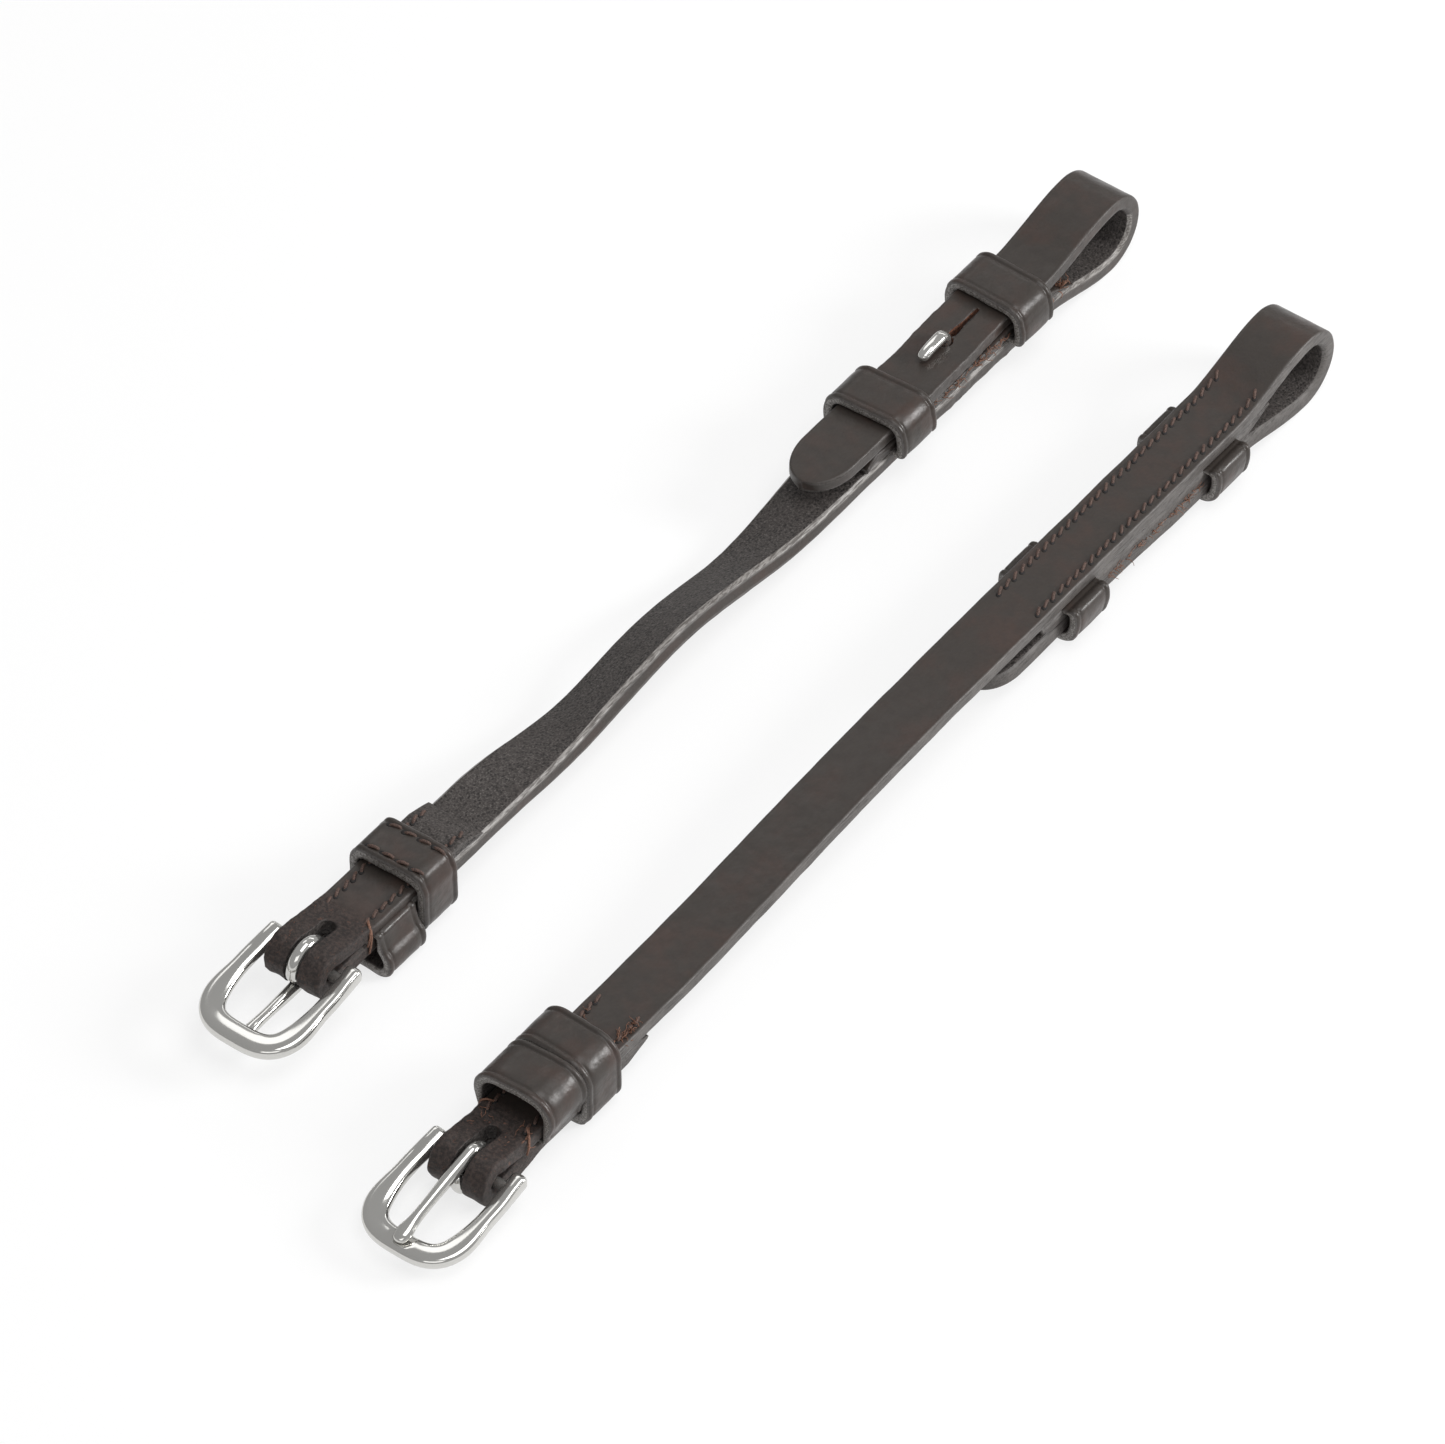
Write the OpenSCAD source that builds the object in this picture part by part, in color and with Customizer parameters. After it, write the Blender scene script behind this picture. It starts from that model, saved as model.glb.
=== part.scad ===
// A pair of bridle cheekpieces: each is one long strap, buckled at the poll end and
// hooked back on itself round the bit ring at the other end.
// Each cheekpiece is drawn flesh side up. The right one is turned over, grain side up.

/* [Strap] */
// Width of the leather strap
strap_w = 12.7; // [10:0.1:19]
// Thickness of the strap leather
strap_t = 3.4; // [2.6:0.1:4]
// Thickness of the pared end that is folded back behind the buckle
chape_t = 2.6; // [2:0.1:3.4]
// Length of the folded end, from the buckle bar
chape_len = 44; // [40:1:60]
// Thickness of the lining sewn behind the hook end
lining_t = 2.6; // [2:0.1:3.4]
// Small bevel along every strap edge
edge_bevel = 0.45; // [0.2:0.05:0.8]
// Gap that the seam leaves between two sewn layers
seam_gap = 0.1; // [0.05:0.05:0.3]

/* [Lengths along the strap] */
// Buckle bar to the near end of the bare, bending stretch
bend_from = 51; // [50:1:70]
// Buckle bar to the far end of the bare, bending stretch
bend_to = 163; // [140:1:200]
// Buckle bar to the tip of the billet
billet_tip_y = 150; // [140:1:180]
// Buckle bar to the lower keeper, on the left and the right cheekpiece
lower_keeper_y = [170, 173];
// Lower keeper to the upper keeper, on the left and the right cheekpiece
keeper_pitch = [39, 46];
// Upper keeper to the outside of the loop's end
loop_len = 33; // [28:1:45]
// Clear height inside the loop
loop_h = 11.2; // [8:0.2:16]

/* [Keepers and runner] */
// Width of the sewn keepers
keeper_w = 11; // [8:0.5:14]
// Thickness of the keeper leather
keeper_t = 2; // [1.4:0.1:2.6]
// Thickness of the keeper where it is pared and sewn between two layers
keeper_root_t = 0.75; // [0.5:0.05:1]
// Buckle bar to the fixed keeper
fixed_keeper_y = 12; // [11:0.5:18]
// Room under the fixed keeper, on the left and the right cheekpiece
fixed_keeper_gap = [4.6, 5.2];
// How far the left fixed keeper is pushed over sideways
fixed_keeper_lean = [3, 0];
// Width of the runner
runner_w = 10; // [7:0.5:12]
// Room inside the runner for one more strap
runner_gap = 4.6; // [4.2:0.1:6]
// Clearance of a keeper or runner round what it holds
loop_fit = 0.35; // [0.3:0.05:0.8]

/* [Buckle] */
// Clear room between the strap's edge and each arm of the frame
frame_room = 1.2; // [0.6:0.1:3]
// Buckle bar to the outside of the nose
frame_reach = 22; // [18:0.5:30]
// Width of the frame's arms
arm_w = 3.7; // [3:0.1:5]
// Width of the frame's nose
nose_w = 4.8; // [3.6:0.1:6]
// Thickness of the frame
frame_t = 2.6; // [2:0.1:3.6]
// Radius of the boss at the end of each arm
boss_r = 2.3; // [2.1:0.1:2.8]
// How far the arms run on past the bar
arm_tail = 3.2; // [2.4:0.1:5]
// Radius of the bar
bar_r = 1.25; // [1:0.05:1.5]
// Radial clearance of the tongue's eye on the bar
eye_fit = 0.08; // [0.02:0.01:0.1]
// Radius of the tongue's wire
tongue_r = 1.15; // [0.9:0.05:1.4]
// Outside radius of the tongue's eye
eye_r = 5.1; // [4.4:0.1:6]
// Width of the slot that lets the tongue through the leather
slot_w = 3.8; // [3.2:0.1:5]
// Angle at which the buckle's nose droops to the table
frame_droop = 6; // [0:1:15]

/* [Hook stud] */
// Radius of the hook's wire
hook_r = 1.25; // [1:0.05:1.5]
// Straight run of the hook towards the buckle
hook_run = 3.6; // [2:0.2:6]
// Length and width of the stud's base plate
stud_base = [10, 7];
// Thickness of the stud's base plate
stud_base_t = 0.7; // [0.5:0.05:0.9]
// Radius of the punched hole in the billet
billet_hole_r = 1.7; // [1.4:0.1:2.2]
// Length of the slit behind the billet's hole
slit_len = 11; // [6:1:14]

/* [Stitching] */
// Length from one stitch to the next
stitch_pitch = 3.1; // [2.5:0.1:4]
// Radius of the thread
thread_r = 0.32; // [0.2:0.02:0.4]
// Distance of each stitch row from the strap's edge
stitch_inset = 1.9; // [1.4:0.1:2.6]

/* [Layout] */
// Distance between the two cheekpieces' centre lines
pair_pitch = 52; // [40:1:80]
// Length of the laid-out pair, from the lowest buckle's nose to the highest loop
pair_span = 293; // [293:1:330]

/* [Hidden] */
$fn = 48;
LEFT = 0;
RIGHT = 1;
leather = "#3b302c";
rough_leather = "#4a4442";
thread_colour = "#5e3c30";
metal = "#c9c8c4";

// Outside width of the buckle frame
frame_w = strap_w + 2 * (frame_room + arm_w);

// Heights of the layers above the grain face, in the cheekpiece's own frame (flesh side up)
flesh_z = strap_t;
bar_z = strap_t + seam_gap / 2;
chape_top_z = strap_t + seam_gap + chape_t;
lining_top_z = strap_t + seam_gap + lining_t;
billet_z = lining_top_z + seam_gap;
billet_top_z = billet_z + strap_t;
root_z = strap_t + seam_gap / 2;
half_w = strap_w / 2;

// The leather turn round the bar
turn_r = bar_r + 0.16;
turn_steps = 10;
nip_y = 8;
pare_to_y = 14;
end_pare = 6;

// The fixed keeper and the runner
keeper_half = half_w + loop_fit;
fixed_keeper_end_y = fixed_keeper_y + keeper_w;
runner_y = fixed_keeper_end_y + loop_fit;
runner_top_z = chape_top_z + thread_r + loop_fit;
runner_half = keeper_half + 0.1;
lap_t = 0.7;
corner_out = 2.9;
corner_in = 1.2;
root_corner = 0.3;
corner_steps = 5;

// Layout of the loop
loop_drop = 4.5;
loop_end_r = loop_h / 2;
loop_low = flesh_z - loop_drop;
loop_high = loop_low + loop_h;
loop_mid_z = loop_low + loop_end_r;
loop_steps = 10;
loop_start = 1;
lining_lead = 7;
lining_tail = 11;

// The bare stretch: dips, a low rise and a roll about the strap's own axis
bare_steps = 22;
bare_dip = [2.4, 0];
bare_rise = [1, -0.8];
bare_roll = [27, 2];
roll_ramp = 0.34;

// The billet's rounded tip
tip_len = 9;
tip_steps = 6;

// A stitch on the curve of the loop stands this far off, to clear the bend
bend_lift = 0.06;

// The groove that the tongue's tip lies in, across the nose
rest_depth = 0.35;
rest_fit = 0.3;

// Each cheekpiece rests on its keepers at the buckle end, and on its loop at the hook end,
// so the hook end lies lower in the cheekpiece's own frame by hook_zone_dz.
runner_out_z = -runner_gap - keeper_t;
runner_back_z = runner_top_z + keeper_t + lap_t;
rest_z = [max(runner_gap, fixed_keeper_gap[LEFT]) + keeper_t, runner_back_z];
hook_zone_dz = [loop_drop - rest_z[LEFT], rest_z[RIGHT] - loop_high - strap_t];
bar_y = [
    pair_span / 2 - lower_keeper_y[LEFT] - keeper_pitch[LEFT] - keeper_w - loop_len,
    frame_reach - pair_span / 2
];

function ease(u) = let (v = max(0, min(1, u))) v * v * (3 - 2 * v);
function lerp(a, b, u) = a + (b - a) * u;
function upper_keeper_y(side) = lower_keeper_y[side] + keeper_pitch[side];
function loop_from(side) = upper_keeper_y(side) + keeper_w + loop_start;
function loop_end(side) = upper_keeper_y(side) + keeper_w + loop_len;
function loop_centre(side) = loop_end(side) - strap_t - loop_end_r;
function hook_y(side) = upper_keeper_y(side) - slit_len - 1.5;

// Height of the strap's flesh face along the cheekpiece, at the hook end and on the lower half of the loop
function hook_zone_flesh(side, y) =
    let (u = (y - loop_from(side)) / (loop_centre(side) - loop_from(side)))
    hook_zone_dz[side] + lerp(flesh_z, loop_low, ease(u));

// A station is a point on the flesh face's centre line, the way across, the way from flesh to grain,
// the width and the thickness there.
function station(y, z, angle, t = strap_t, w = strap_w) =
    [[0, y, z], [1, 0, 0], [0, cos(angle), sin(angle)], w, t];

function chape_stations(side) = [
    for (y = [chape_len, chape_len - end_pare, pare_to_y])
        station(y, flesh_z + seam_gap, 90, y == chape_len ? chape_t / 2 : chape_t),
    station(nip_y, flesh_z + seam_gap, 95, strap_t)
];

function turn_stations(side) =
    let (open = acos(turn_r / nip_y))
    [for (i = [0:turn_steps])
        let (a = lerp(open, 360 - open, i / turn_steps))
        station(turn_r * cos(a), bar_z + turn_r * sin(a), a)];

function buckle_end_stations(side) = [
    station(nip_y, flesh_z, 265),
    for (y = [pare_to_y, bend_from]) station(y, flesh_z, 270)
];

// Height of the flesh face and roll of the strap along the bare stretch
function bare_z(side, u) =
    lerp(flesh_z, flesh_z + hook_zone_dz[side], ease(u))
    - bare_dip[side] * pow(sin(360 * u), 2) + bare_rise[side] * pow(sin(180 * u), 2);
function bare_turn(side, u) = bare_roll[side] * ease(u / roll_ramp) * ease((1 - u) / roll_ramp);

function bare_stations(side) = [
    for (i = [1:bare_steps - 1])
        let (
            u = i / bare_steps,
            step = 0.01,
            rise = (bare_z(side, u + step) - bare_z(side, u - step)) / (2 * step * (bend_to - bend_from)),
            pitch = atan(rise),
            roll = bare_turn(side, u),
            across = [cos(roll), 0, sin(roll)],
            ahead = [0, cos(pitch), sin(pitch)],
            grain = cross(ahead, across),
            way = grain / norm(grain)
        )
        [
            [0, lerp(bend_from, bend_to, u), bare_z(side, u)] - way * strap_t / 2
                + [0, 0, -strap_t / 2],
            across, way, strap_w, strap_t
        ]
];

function hook_end_stations(side) = [
    for (y = [bend_to, loop_from(side)]) station(y, hook_zone_flesh(side, y), 270)
];

function slope_at(side, y) =
    atan((hook_zone_flesh(side, y + 0.1) - hook_zone_flesh(side, y - 0.1)) / 0.2);

function loop_stations(side) = let (dz = hook_zone_dz[side]) [
    for (i = [1:loop_steps - 1])
        let (y = lerp(loop_from(side), loop_centre(side), i / loop_steps))
        station(y, hook_zone_flesh(side, y), 270 + slope_at(side, y)),
    for (i = [0:loop_steps])
        let (a = lerp(-90, 90, i / loop_steps))
        station(
            loop_centre(side) + loop_end_r * cos(a),
            dz + loop_mid_z + loop_end_r * sin(a), a
        ),
    for (i = [loop_steps - 1:-1:1])
        let (
            u = i / loop_steps,
            y = lerp(loop_from(side), loop_centre(side), u),
            rise = (loop_high - billet_z) * (ease(u + 0.01) - ease(u - 0.01)) / 0.02,
            slope = atan(rise / (loop_centre(side) - loop_from(side)))
        )
        station(y, dz + lerp(billet_z, loop_high, ease(u)), 90 + slope)
];

// The billet's tip is rounded in plan and pared a little
function billet_stations(side) = let (z = hook_zone_dz[side] + billet_z) [
    station(loop_from(side), z, 90),
    station(billet_tip_y + tip_len, z, 90),
    for (i = [1:tip_steps])
        let (a = 88 * i / tip_steps)
        station(
            billet_tip_y + tip_len * (1 - sin(a)), z, 90,
            strap_t * lerp(1, 0.8, i / tip_steps), max(2 * half_w * cos(a), 2.5)
        )
];

function strap_stations(side) = concat(
    chape_stations(side), turn_stations(side), buckle_end_stations(side), bare_stations(side),
    hook_end_stations(side), loop_stations(side), billet_stations(side)
);

function section(s) =
    let (w = s[3] / 2, t = s[4], c = edge_bevel)
    [for (q = [
        [-w, c], [-w, t - c], [c - w, t], [w - c, t], [w, t - c], [w, c], [w - c, 0], [c - w, 0]
    ]) s[0] + q[0] * s[1] + q[1] * s[2]];

// One closed solid through a row of stations
module sweep(stations) {
    n = 8;
    last = len(stations) - 1;
    points = [for (s = stations) each section(s)];
    walls = [
        for (i = [0:last - 1], j = [0:n - 1])
            let (a = i * n + j, b = i * n + (j + 1) % n, c = a + n, d = b + n)
            each [[a, c, b], [b, c, d]]
    ];
    polyhedron(
        points = points,
        faces = concat([[for (j = [0:n - 1]) j]], walls, [[for (j = [n - 1:-1:0]) last * n + j]])
    );
}

// Puts a cheekpiece, drawn with its buckle bar over the origin, in its place on the table
module place(side) {
    if (side == LEFT)
        translate([-pair_pitch / 2, bar_y[LEFT], rest_z[LEFT]]) children();
    else
        translate([pair_pitch / 2, bar_y[RIGHT], rest_z[RIGHT]]) rotate([0, 180, 0]) children();
}

// Turns the buckle about its bar so that the nose droops to the table
module droop(side) {
    translate([0, 0, bar_z])
        rotate([side == LEFT ? frame_droop : -frame_droop, 0, 0]) children();
}

// A box between two corners
module box(low, high) {
    translate(low) cube(high - low);
}

module strap(side) {
    color(side == LEFT ? rough_leather : leather) place(side)
        difference() {
            sweep(strap_stations(side));
            tongue_slot();
            keeper_bed(fixed_keeper_y);
            billet_hole(side);
        }
}

// The slot through the turn and both layers behind it
module tongue_slot() {
    box([-slot_w / 2, -nip_y, -strap_t], [slot_w / 2, nip_y - slot_w / 2, chape_top_z + strap_t]);
    translate([0, nip_y - slot_w / 2, -strap_t])
        cylinder(d = slot_w, h = chape_top_z + 2 * strap_t);
}

// The shallow bed that a keeper's pared ends are sewn into
module keeper_bed(y) {
    box([-strap_w, y - seam_gap, root_z - seam_gap / 2],
        [strap_w, y + keeper_w + seam_gap, root_z + keeper_root_t + seam_gap]);
}

// The punched hole for the hook stud, with its slit towards the loop
module billet_hole(side) {
    translate([0, hook_y(side), hook_zone_dz[side] + lining_top_z])
        cylinder(r = billet_hole_r, h = 2 * strap_t);
    box([-0.35, hook_y(side), hook_zone_dz[side] + lining_top_z],
        [0.35, hook_y(side) + slit_len, hook_zone_dz[side] + lining_top_z + 2 * strap_t]);
}

// Stations of the lining, turned over so that it lies on the strap's flesh face
function lining_stations(side) =
    let (
        from = lower_keeper_y[side] - lining_lead,
        to = upper_keeper_y(side) + keeper_w + lining_tail,
        ys = [from, loop_from(side) - 1, for (i = [0:6]) lerp(loop_from(side), to, i / 6)]
    )
    [for (y = ys)
        let (t = lerp(lining_t, 0.9, ease((y - loop_from(side) + 1) / lining_tail)))
        [
            [0, y, hook_zone_flesh(side, y) + seam_gap], [-1, 0, 0],
            [0, -sin(slope_at(side, y)), cos(slope_at(side, y))], strap_w, t
        ]];

module lining(side) {
    dz = hook_zone_dz[side];
    color(leather) place(side)
        difference() {
            sweep(lining_stations(side));
            translate([0, 0, dz]) {
                keeper_bed(lower_keeper_y[side]);
                keeper_bed(upper_keeper_y(side));
                stud_bed(side);
            }
        }
}

// Room for the stud's base plate and its shank in the lining
module stud_bed(side) {
    translate([0, hook_y(side), 0]) {
        box([-stud_base[1] / 2 - seam_gap, -stud_base[0] / 2 - seam_gap, strap_t],
            [stud_base[1] / 2 + seam_gap, stud_base[0] / 2 + seam_gap, root_z + stud_base_t + seam_gap]);
        cylinder(r = hook_r + 0.1, h = billet_z + 1);
    }
}

// Outline of a loop of leather: a rectangle with round corners, of one radius at its low side and
// another at its high side, pushed sideways by lean below z = 0
function rounded(x, low, high, low_r, high_r, lean = 0) = [
    each round_corner(x - high_r, high - high_r, high_r, 0, low, lean),
    each round_corner(high_r - x, high - high_r, high_r, 90, low, lean),
    if (low < 0) [-x, 0],
    each round_corner(low_r - x, low + low_r, low_r, 180, low, lean),
    each round_corner(x - low_r, low + low_r, low_r, 270, low, lean),
    if (low < 0) [x, 0]
];
function round_corner(cx, cz, r, from, low, lean) = [
    for (i = [0:corner_steps])
        let (a = from + 90 * i / corner_steps, z = cz + r * sin(a))
        [cx + r * cos(a) + (z < 0 ? lean * z / low : 0), z]
];

// A closed loop of leather, its outline in X and Z, extruded along Y
module leather_loop(y, w, inner, outer) {
    translate([0, y + w, 0]) rotate([90, 0, 0])
        linear_extrude(height = w)
            difference() {
                polygon(outer);
                polygon(inner);
            }
}

module fixed_keeper(side) {
    gap = fixed_keeper_gap[side];
    lean = fixed_keeper_lean[side];
    color(leather) place(side)
        leather_loop(
            fixed_keeper_y, keeper_w,
            rounded(keeper_half, -gap, root_z, corner_in, root_corner, lean),
            rounded(keeper_half + keeper_t, -gap - keeper_t, root_z + keeper_root_t, corner_out,
                keeper_root_t, lean)
        );
}

module hook_keeper(side, y) {
    top = billet_top_z + loop_fit;
    color(leather) place(side)
        translate([0, 0, hook_zone_dz[side]])
            leather_loop(
                y, keeper_w,
                rounded(keeper_half, root_z + keeper_root_t, top, root_corner, corner_in),
                rounded(keeper_half + keeper_t, root_z, top + keeper_t, keeper_root_t, corner_out)
            );
}

module runner(side) {
    color(leather) place(side)
        leather_loop(
            runner_y, runner_w,
            rounded(runner_half, -runner_gap, runner_top_z, corner_in, corner_in),
            rounded(runner_half + keeper_t, runner_out_z, runner_back_z, corner_out, corner_out)
        );
}

// One stitch: a half-round of thread lying on a face, along Y
module stitch(l) {
    translate([0, l / 2, 0]) rotate([90, 0, 0])
        rotate_extrude(angle = 180) square([thread_r, l]);
}

// A row of stitches along Y, each a little slanted
module stitch_row(x, from, to) {
    count = floor((to - from) / stitch_pitch);
    for (i = [0:count - 1])
        translate([x, from + (i + 0.5) * stitch_pitch, 0])
            rotate([0, 0, x > 0 ? 12 : -12]) stitch(stitch_pitch - 0.8);
}

module chape_stitching(side) {
    x = half_w - stitch_inset;
    from = nip_y + 3;
    to = chape_len - end_pare;
    color(thread_colour) place(side) {
        for (s = [-1, 1]) {
            translate([0, 0, chape_top_z]) stitch_row(s * x, pare_to_y, to);
            rotate([0, 180, 0]) stitch_row(s * x, from, chape_len);
        }
    }
}

module lining_stitching(side) {
    x = half_w - stitch_inset;
    from = lower_keeper_y[side] - lining_lead + 1;
    flat_to = loop_from(side);
    color(thread_colour) place(side) {
        for (s = [-1, 1])
            translate([0, 0, hook_zone_dz[side]]) rotate([0, 180, 0]) stitch_row(s * x, from, flat_to);
        for (s = [-1, 1], i = [0:2]) {
            y = flat_to + (i + 0.5) * stitch_pitch;
            tilt = slope_at(side, y);
            out = strap_t + bend_lift;
            translate([s * x, y + out * sin(tilt), hook_zone_flesh(side, y) - out * cos(tilt)])
                rotate([tilt, 0, 0]) rotate([0, 180, 0]) stitch(stitch_pitch - 0.8);
        }
    }
}

// Two rows across the lapped ends of the runner
module runner_stitching(side) {
    rows = [1.8, runner_w - 1.8];
    count = 4;
    color(thread_colour) place(side)
        for (r = rows, i = [0:count - 1])
            translate([(i - (count - 1) / 2) * stitch_pitch, runner_y + r, runner_back_z])
                rotate([0, 0, 82]) stitch(stitch_pitch - 0.8);
}

// Base plate, shank, and a hook that turns over towards the buckle and swells a little at its end
module hook_stud(side) {
    neck_z = billet_top_z + 0.5;
    bend_r = 1.9;
    tip_bend_r = 5;
    tip_bend = 32;
    end_swell = 0.15;
    bar_top = neck_z + bend_r;
    color(metal) place(side)
        translate([0, hook_y(side), hook_zone_dz[side]]) {
            box([-stud_base[1] / 2, -stud_base[0] / 2, root_z],
                [stud_base[1] / 2, stud_base[0] / 2, root_z + stud_base_t]);
            translate([0, 0, root_z]) cylinder(r = hook_r, h = neck_z - root_z);
            translate([0, -bend_r, neck_z]) rotate([90, 0, 90])
                rotate_extrude(angle = 90) translate([bend_r, 0]) circle(r = hook_r);
            translate([0, -bend_r, bar_top]) rotate([90, 0, 0])
                cylinder(r = hook_r, h = hook_run);
            translate([0, -bend_r - hook_run, bar_top - tip_bend_r]) rotate([90, 0, 90])
                rotate([0, 0, 90]) rotate_extrude(angle = tip_bend)
                    translate([tip_bend_r, 0]) circle(r = hook_r);
            translate([0, -bend_r - hook_run - tip_bend_r * sin(tip_bend),
                bar_top - tip_bend_r * (1 - cos(tip_bend))])
                rotate([90 + tip_bend, 0, 0]) translate([0, 0, -2 * end_swell])
                    cylinder(r1 = hook_r + end_swell, r2 = hook_r - end_swell, h = hook_r);
        }
}

// Outline of the buckle, open at the bar end, with its nose at the bottom
module frame_outline(half, nose, r) {
    translate([-half, -nose + r]) square([2 * half, nose - r]);
    translate([r - half, -nose]) square([2 * (half - r), 2 * r]);
    for (s = [-1, 1])
        translate([s * (half - r), r - nose]) circle(r = r);
}

module buckle_frame(side) {
    half = frame_w / 2;
    color(metal) place(side) droop(side)
        difference() {
            union() {
                translate([0, 0, -frame_t / 2])
                    linear_extrude(height = frame_t)
                        difference() {
                            frame_outline(half, frame_reach, 8.4);
                            frame_outline(half - arm_w, frame_reach - nose_w, 5.6);
                        }
                for (s = [-1, 1])
                    translate([s * (half - arm_w / 2), 0, 0]) {
                        rotate([0, 90, 0]) cylinder(r = boss_r, h = arm_w, center = true);
                        translate([0, arm_tail / 2, 0]) cube([arm_w, arm_tail, frame_t], center = true);
                    }
            }
            rotate([0, 90, 0]) cylinder(r = bar_r, h = 2 * frame_w, center = true);
            tongue_rest();
        }
}

// The shallow groove across the nose that the tongue's tip lies in
module tongue_rest() {
    translate([0, -frame_reach + nose_w / 2, -frame_t / 2 - tongue_r + rest_depth]) rotate([90, 0, 0])
        cylinder(r = tongue_r + rest_fit, h = 2 * nose_w, center = true);
}

module buckle_bar(side) {
    color(metal) place(side) droop(side)
        rotate([0, 90, 0]) cylinder(r = bar_r, h = frame_w - 0.2, center = true);
}

// Eye round the bar, and a straight shank down to the nose on the grain side
module buckle_tongue(side) {
    start_z = -(eye_r - tongue_r);
    end_z = -(frame_t / 2 + tongue_r - rest_depth);
    reach = frame_reach - 1.6;
    slope = atan((end_z - start_z) / reach);
    shank = norm([reach, end_z - start_z]);
    color(metal) place(side) droop(side)
        difference() {
            union() {
                rotate([0, 90, 0]) cylinder(r = eye_r, h = 2 * tongue_r, center = true);
                translate([0, 0, start_z]) rotate([90 - slope, 0, 0])
                    cylinder(r = tongue_r, h = shank);
                translate([0, -reach, end_z]) sphere(r = tongue_r);
            }
            rotate([0, 90, 0]) cylinder(r = bar_r + eye_fit, h = 4 * tongue_r, center = true);
        }
}

strap(LEFT);  // left_strap
lining(LEFT);  // left_lining
fixed_keeper(LEFT);  // left_fixed_keeper
hook_keeper(LEFT, lower_keeper_y[LEFT]);  // left_lower_keeper
hook_keeper(LEFT, upper_keeper_y(LEFT));  // left_upper_keeper
hook_stud(LEFT);  // left_hook_stud
chape_stitching(LEFT);  // left_chape_stitching
lining_stitching(LEFT);  // left_lining_stitching
runner(LEFT);  // left_runner
runner_stitching(LEFT);  // left_runner_stitching
buckle_frame(LEFT);  // left_buckle_frame
buckle_bar(LEFT);  // left_buckle_bar
buckle_tongue(LEFT);  // left_buckle_tongue
strap(RIGHT);  // right_strap
lining(RIGHT);  // right_lining
fixed_keeper(RIGHT);  // right_fixed_keeper
hook_keeper(RIGHT, lower_keeper_y[RIGHT]);  // right_lower_keeper
hook_keeper(RIGHT, upper_keeper_y(RIGHT));  // right_upper_keeper
hook_stud(RIGHT);  // right_hook_stud
chape_stitching(RIGHT);  // right_chape_stitching
lining_stitching(RIGHT);  // right_lining_stitching
runner(RIGHT);  // right_runner
runner_stitching(RIGHT);  // right_runner_stitching
buckle_frame(RIGHT);  // right_buckle_frame
buckle_bar(RIGHT);  // right_buckle_bar
buckle_tongue(RIGHT);  // right_buckle_tongue
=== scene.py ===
"""A pair of leather bridle cheekpieces: straps, keepers, runners, buckles, hook studs, stitching."""

import math
import random

import bmesh
import bpy
import numpy as np
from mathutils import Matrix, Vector, noise


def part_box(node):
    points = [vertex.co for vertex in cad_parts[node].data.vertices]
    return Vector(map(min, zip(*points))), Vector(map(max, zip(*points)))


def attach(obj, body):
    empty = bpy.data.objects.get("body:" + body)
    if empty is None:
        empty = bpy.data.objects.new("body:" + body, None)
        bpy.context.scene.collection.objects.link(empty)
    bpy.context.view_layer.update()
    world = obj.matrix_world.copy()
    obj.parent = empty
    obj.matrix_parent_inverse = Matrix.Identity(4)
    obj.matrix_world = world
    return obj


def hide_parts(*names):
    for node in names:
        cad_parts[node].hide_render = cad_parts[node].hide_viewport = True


bl_info = {
    "name": "Bridle Cheekpieces",
    "version": (1, 0, 0),
    "blender": (4, 5, 0),
    "location": "View3D > Sidebar > Tack",
    "description": "Builds a pair of leather bridle cheekpieces around their packed model",
    "category": "Add Mesh",
}

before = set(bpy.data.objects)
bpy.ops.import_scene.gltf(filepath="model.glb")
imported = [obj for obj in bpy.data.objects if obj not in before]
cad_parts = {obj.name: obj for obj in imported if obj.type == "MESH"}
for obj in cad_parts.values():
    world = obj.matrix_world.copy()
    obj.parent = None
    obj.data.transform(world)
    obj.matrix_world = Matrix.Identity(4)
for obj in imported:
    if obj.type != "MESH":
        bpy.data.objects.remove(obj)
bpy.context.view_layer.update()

LEFT, RIGHT = 0, 1
SIDES = ("left", "right")
MM = 0.001


# ---- sizes and colours


def length(name, mm, text):
    return bpy.props.FloatProperty(
        name=name, description=text, default=mm * MM, min=0.0, unit="LENGTH", subtype="DISTANCE"
    )


def colour(name, rgb, text):
    return bpy.props.FloatVectorProperty(
        name=name, description=text, default=rgb, size=3, min=0.0, max=1.0, subtype="COLOR"
    )


class TackSizes(bpy.types.PropertyGroup):
    """Sizes of the leatherwork that can be changed"""

    flesh_bevel: length("Flesh bevel", 0.75, "Bevel along the rough side's edges")
    grain_round: length("Grain rounding", 0.5, "Rounding along the smooth side's edges")
    keeper_round: length("Keeper rounding", 0.55, "Rounding along the edges of keepers and runners")
    crease_inset: length("Crease inset", 1.5, "Distance of a pressed crease from a keeper's edge")
    crease_depth: length("Crease depth", 0.22, "Depth of the pressed creases")
    stitch_pitch: length("Stitch pitch", 2.45, "Length from one stitch to the next")
    stitch_length: length("Stitch length", 2.15, "Length of one stitch that shows")
    thread_radius: length("Thread radius", 0.33, "Radius of the sewing thread")


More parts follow.
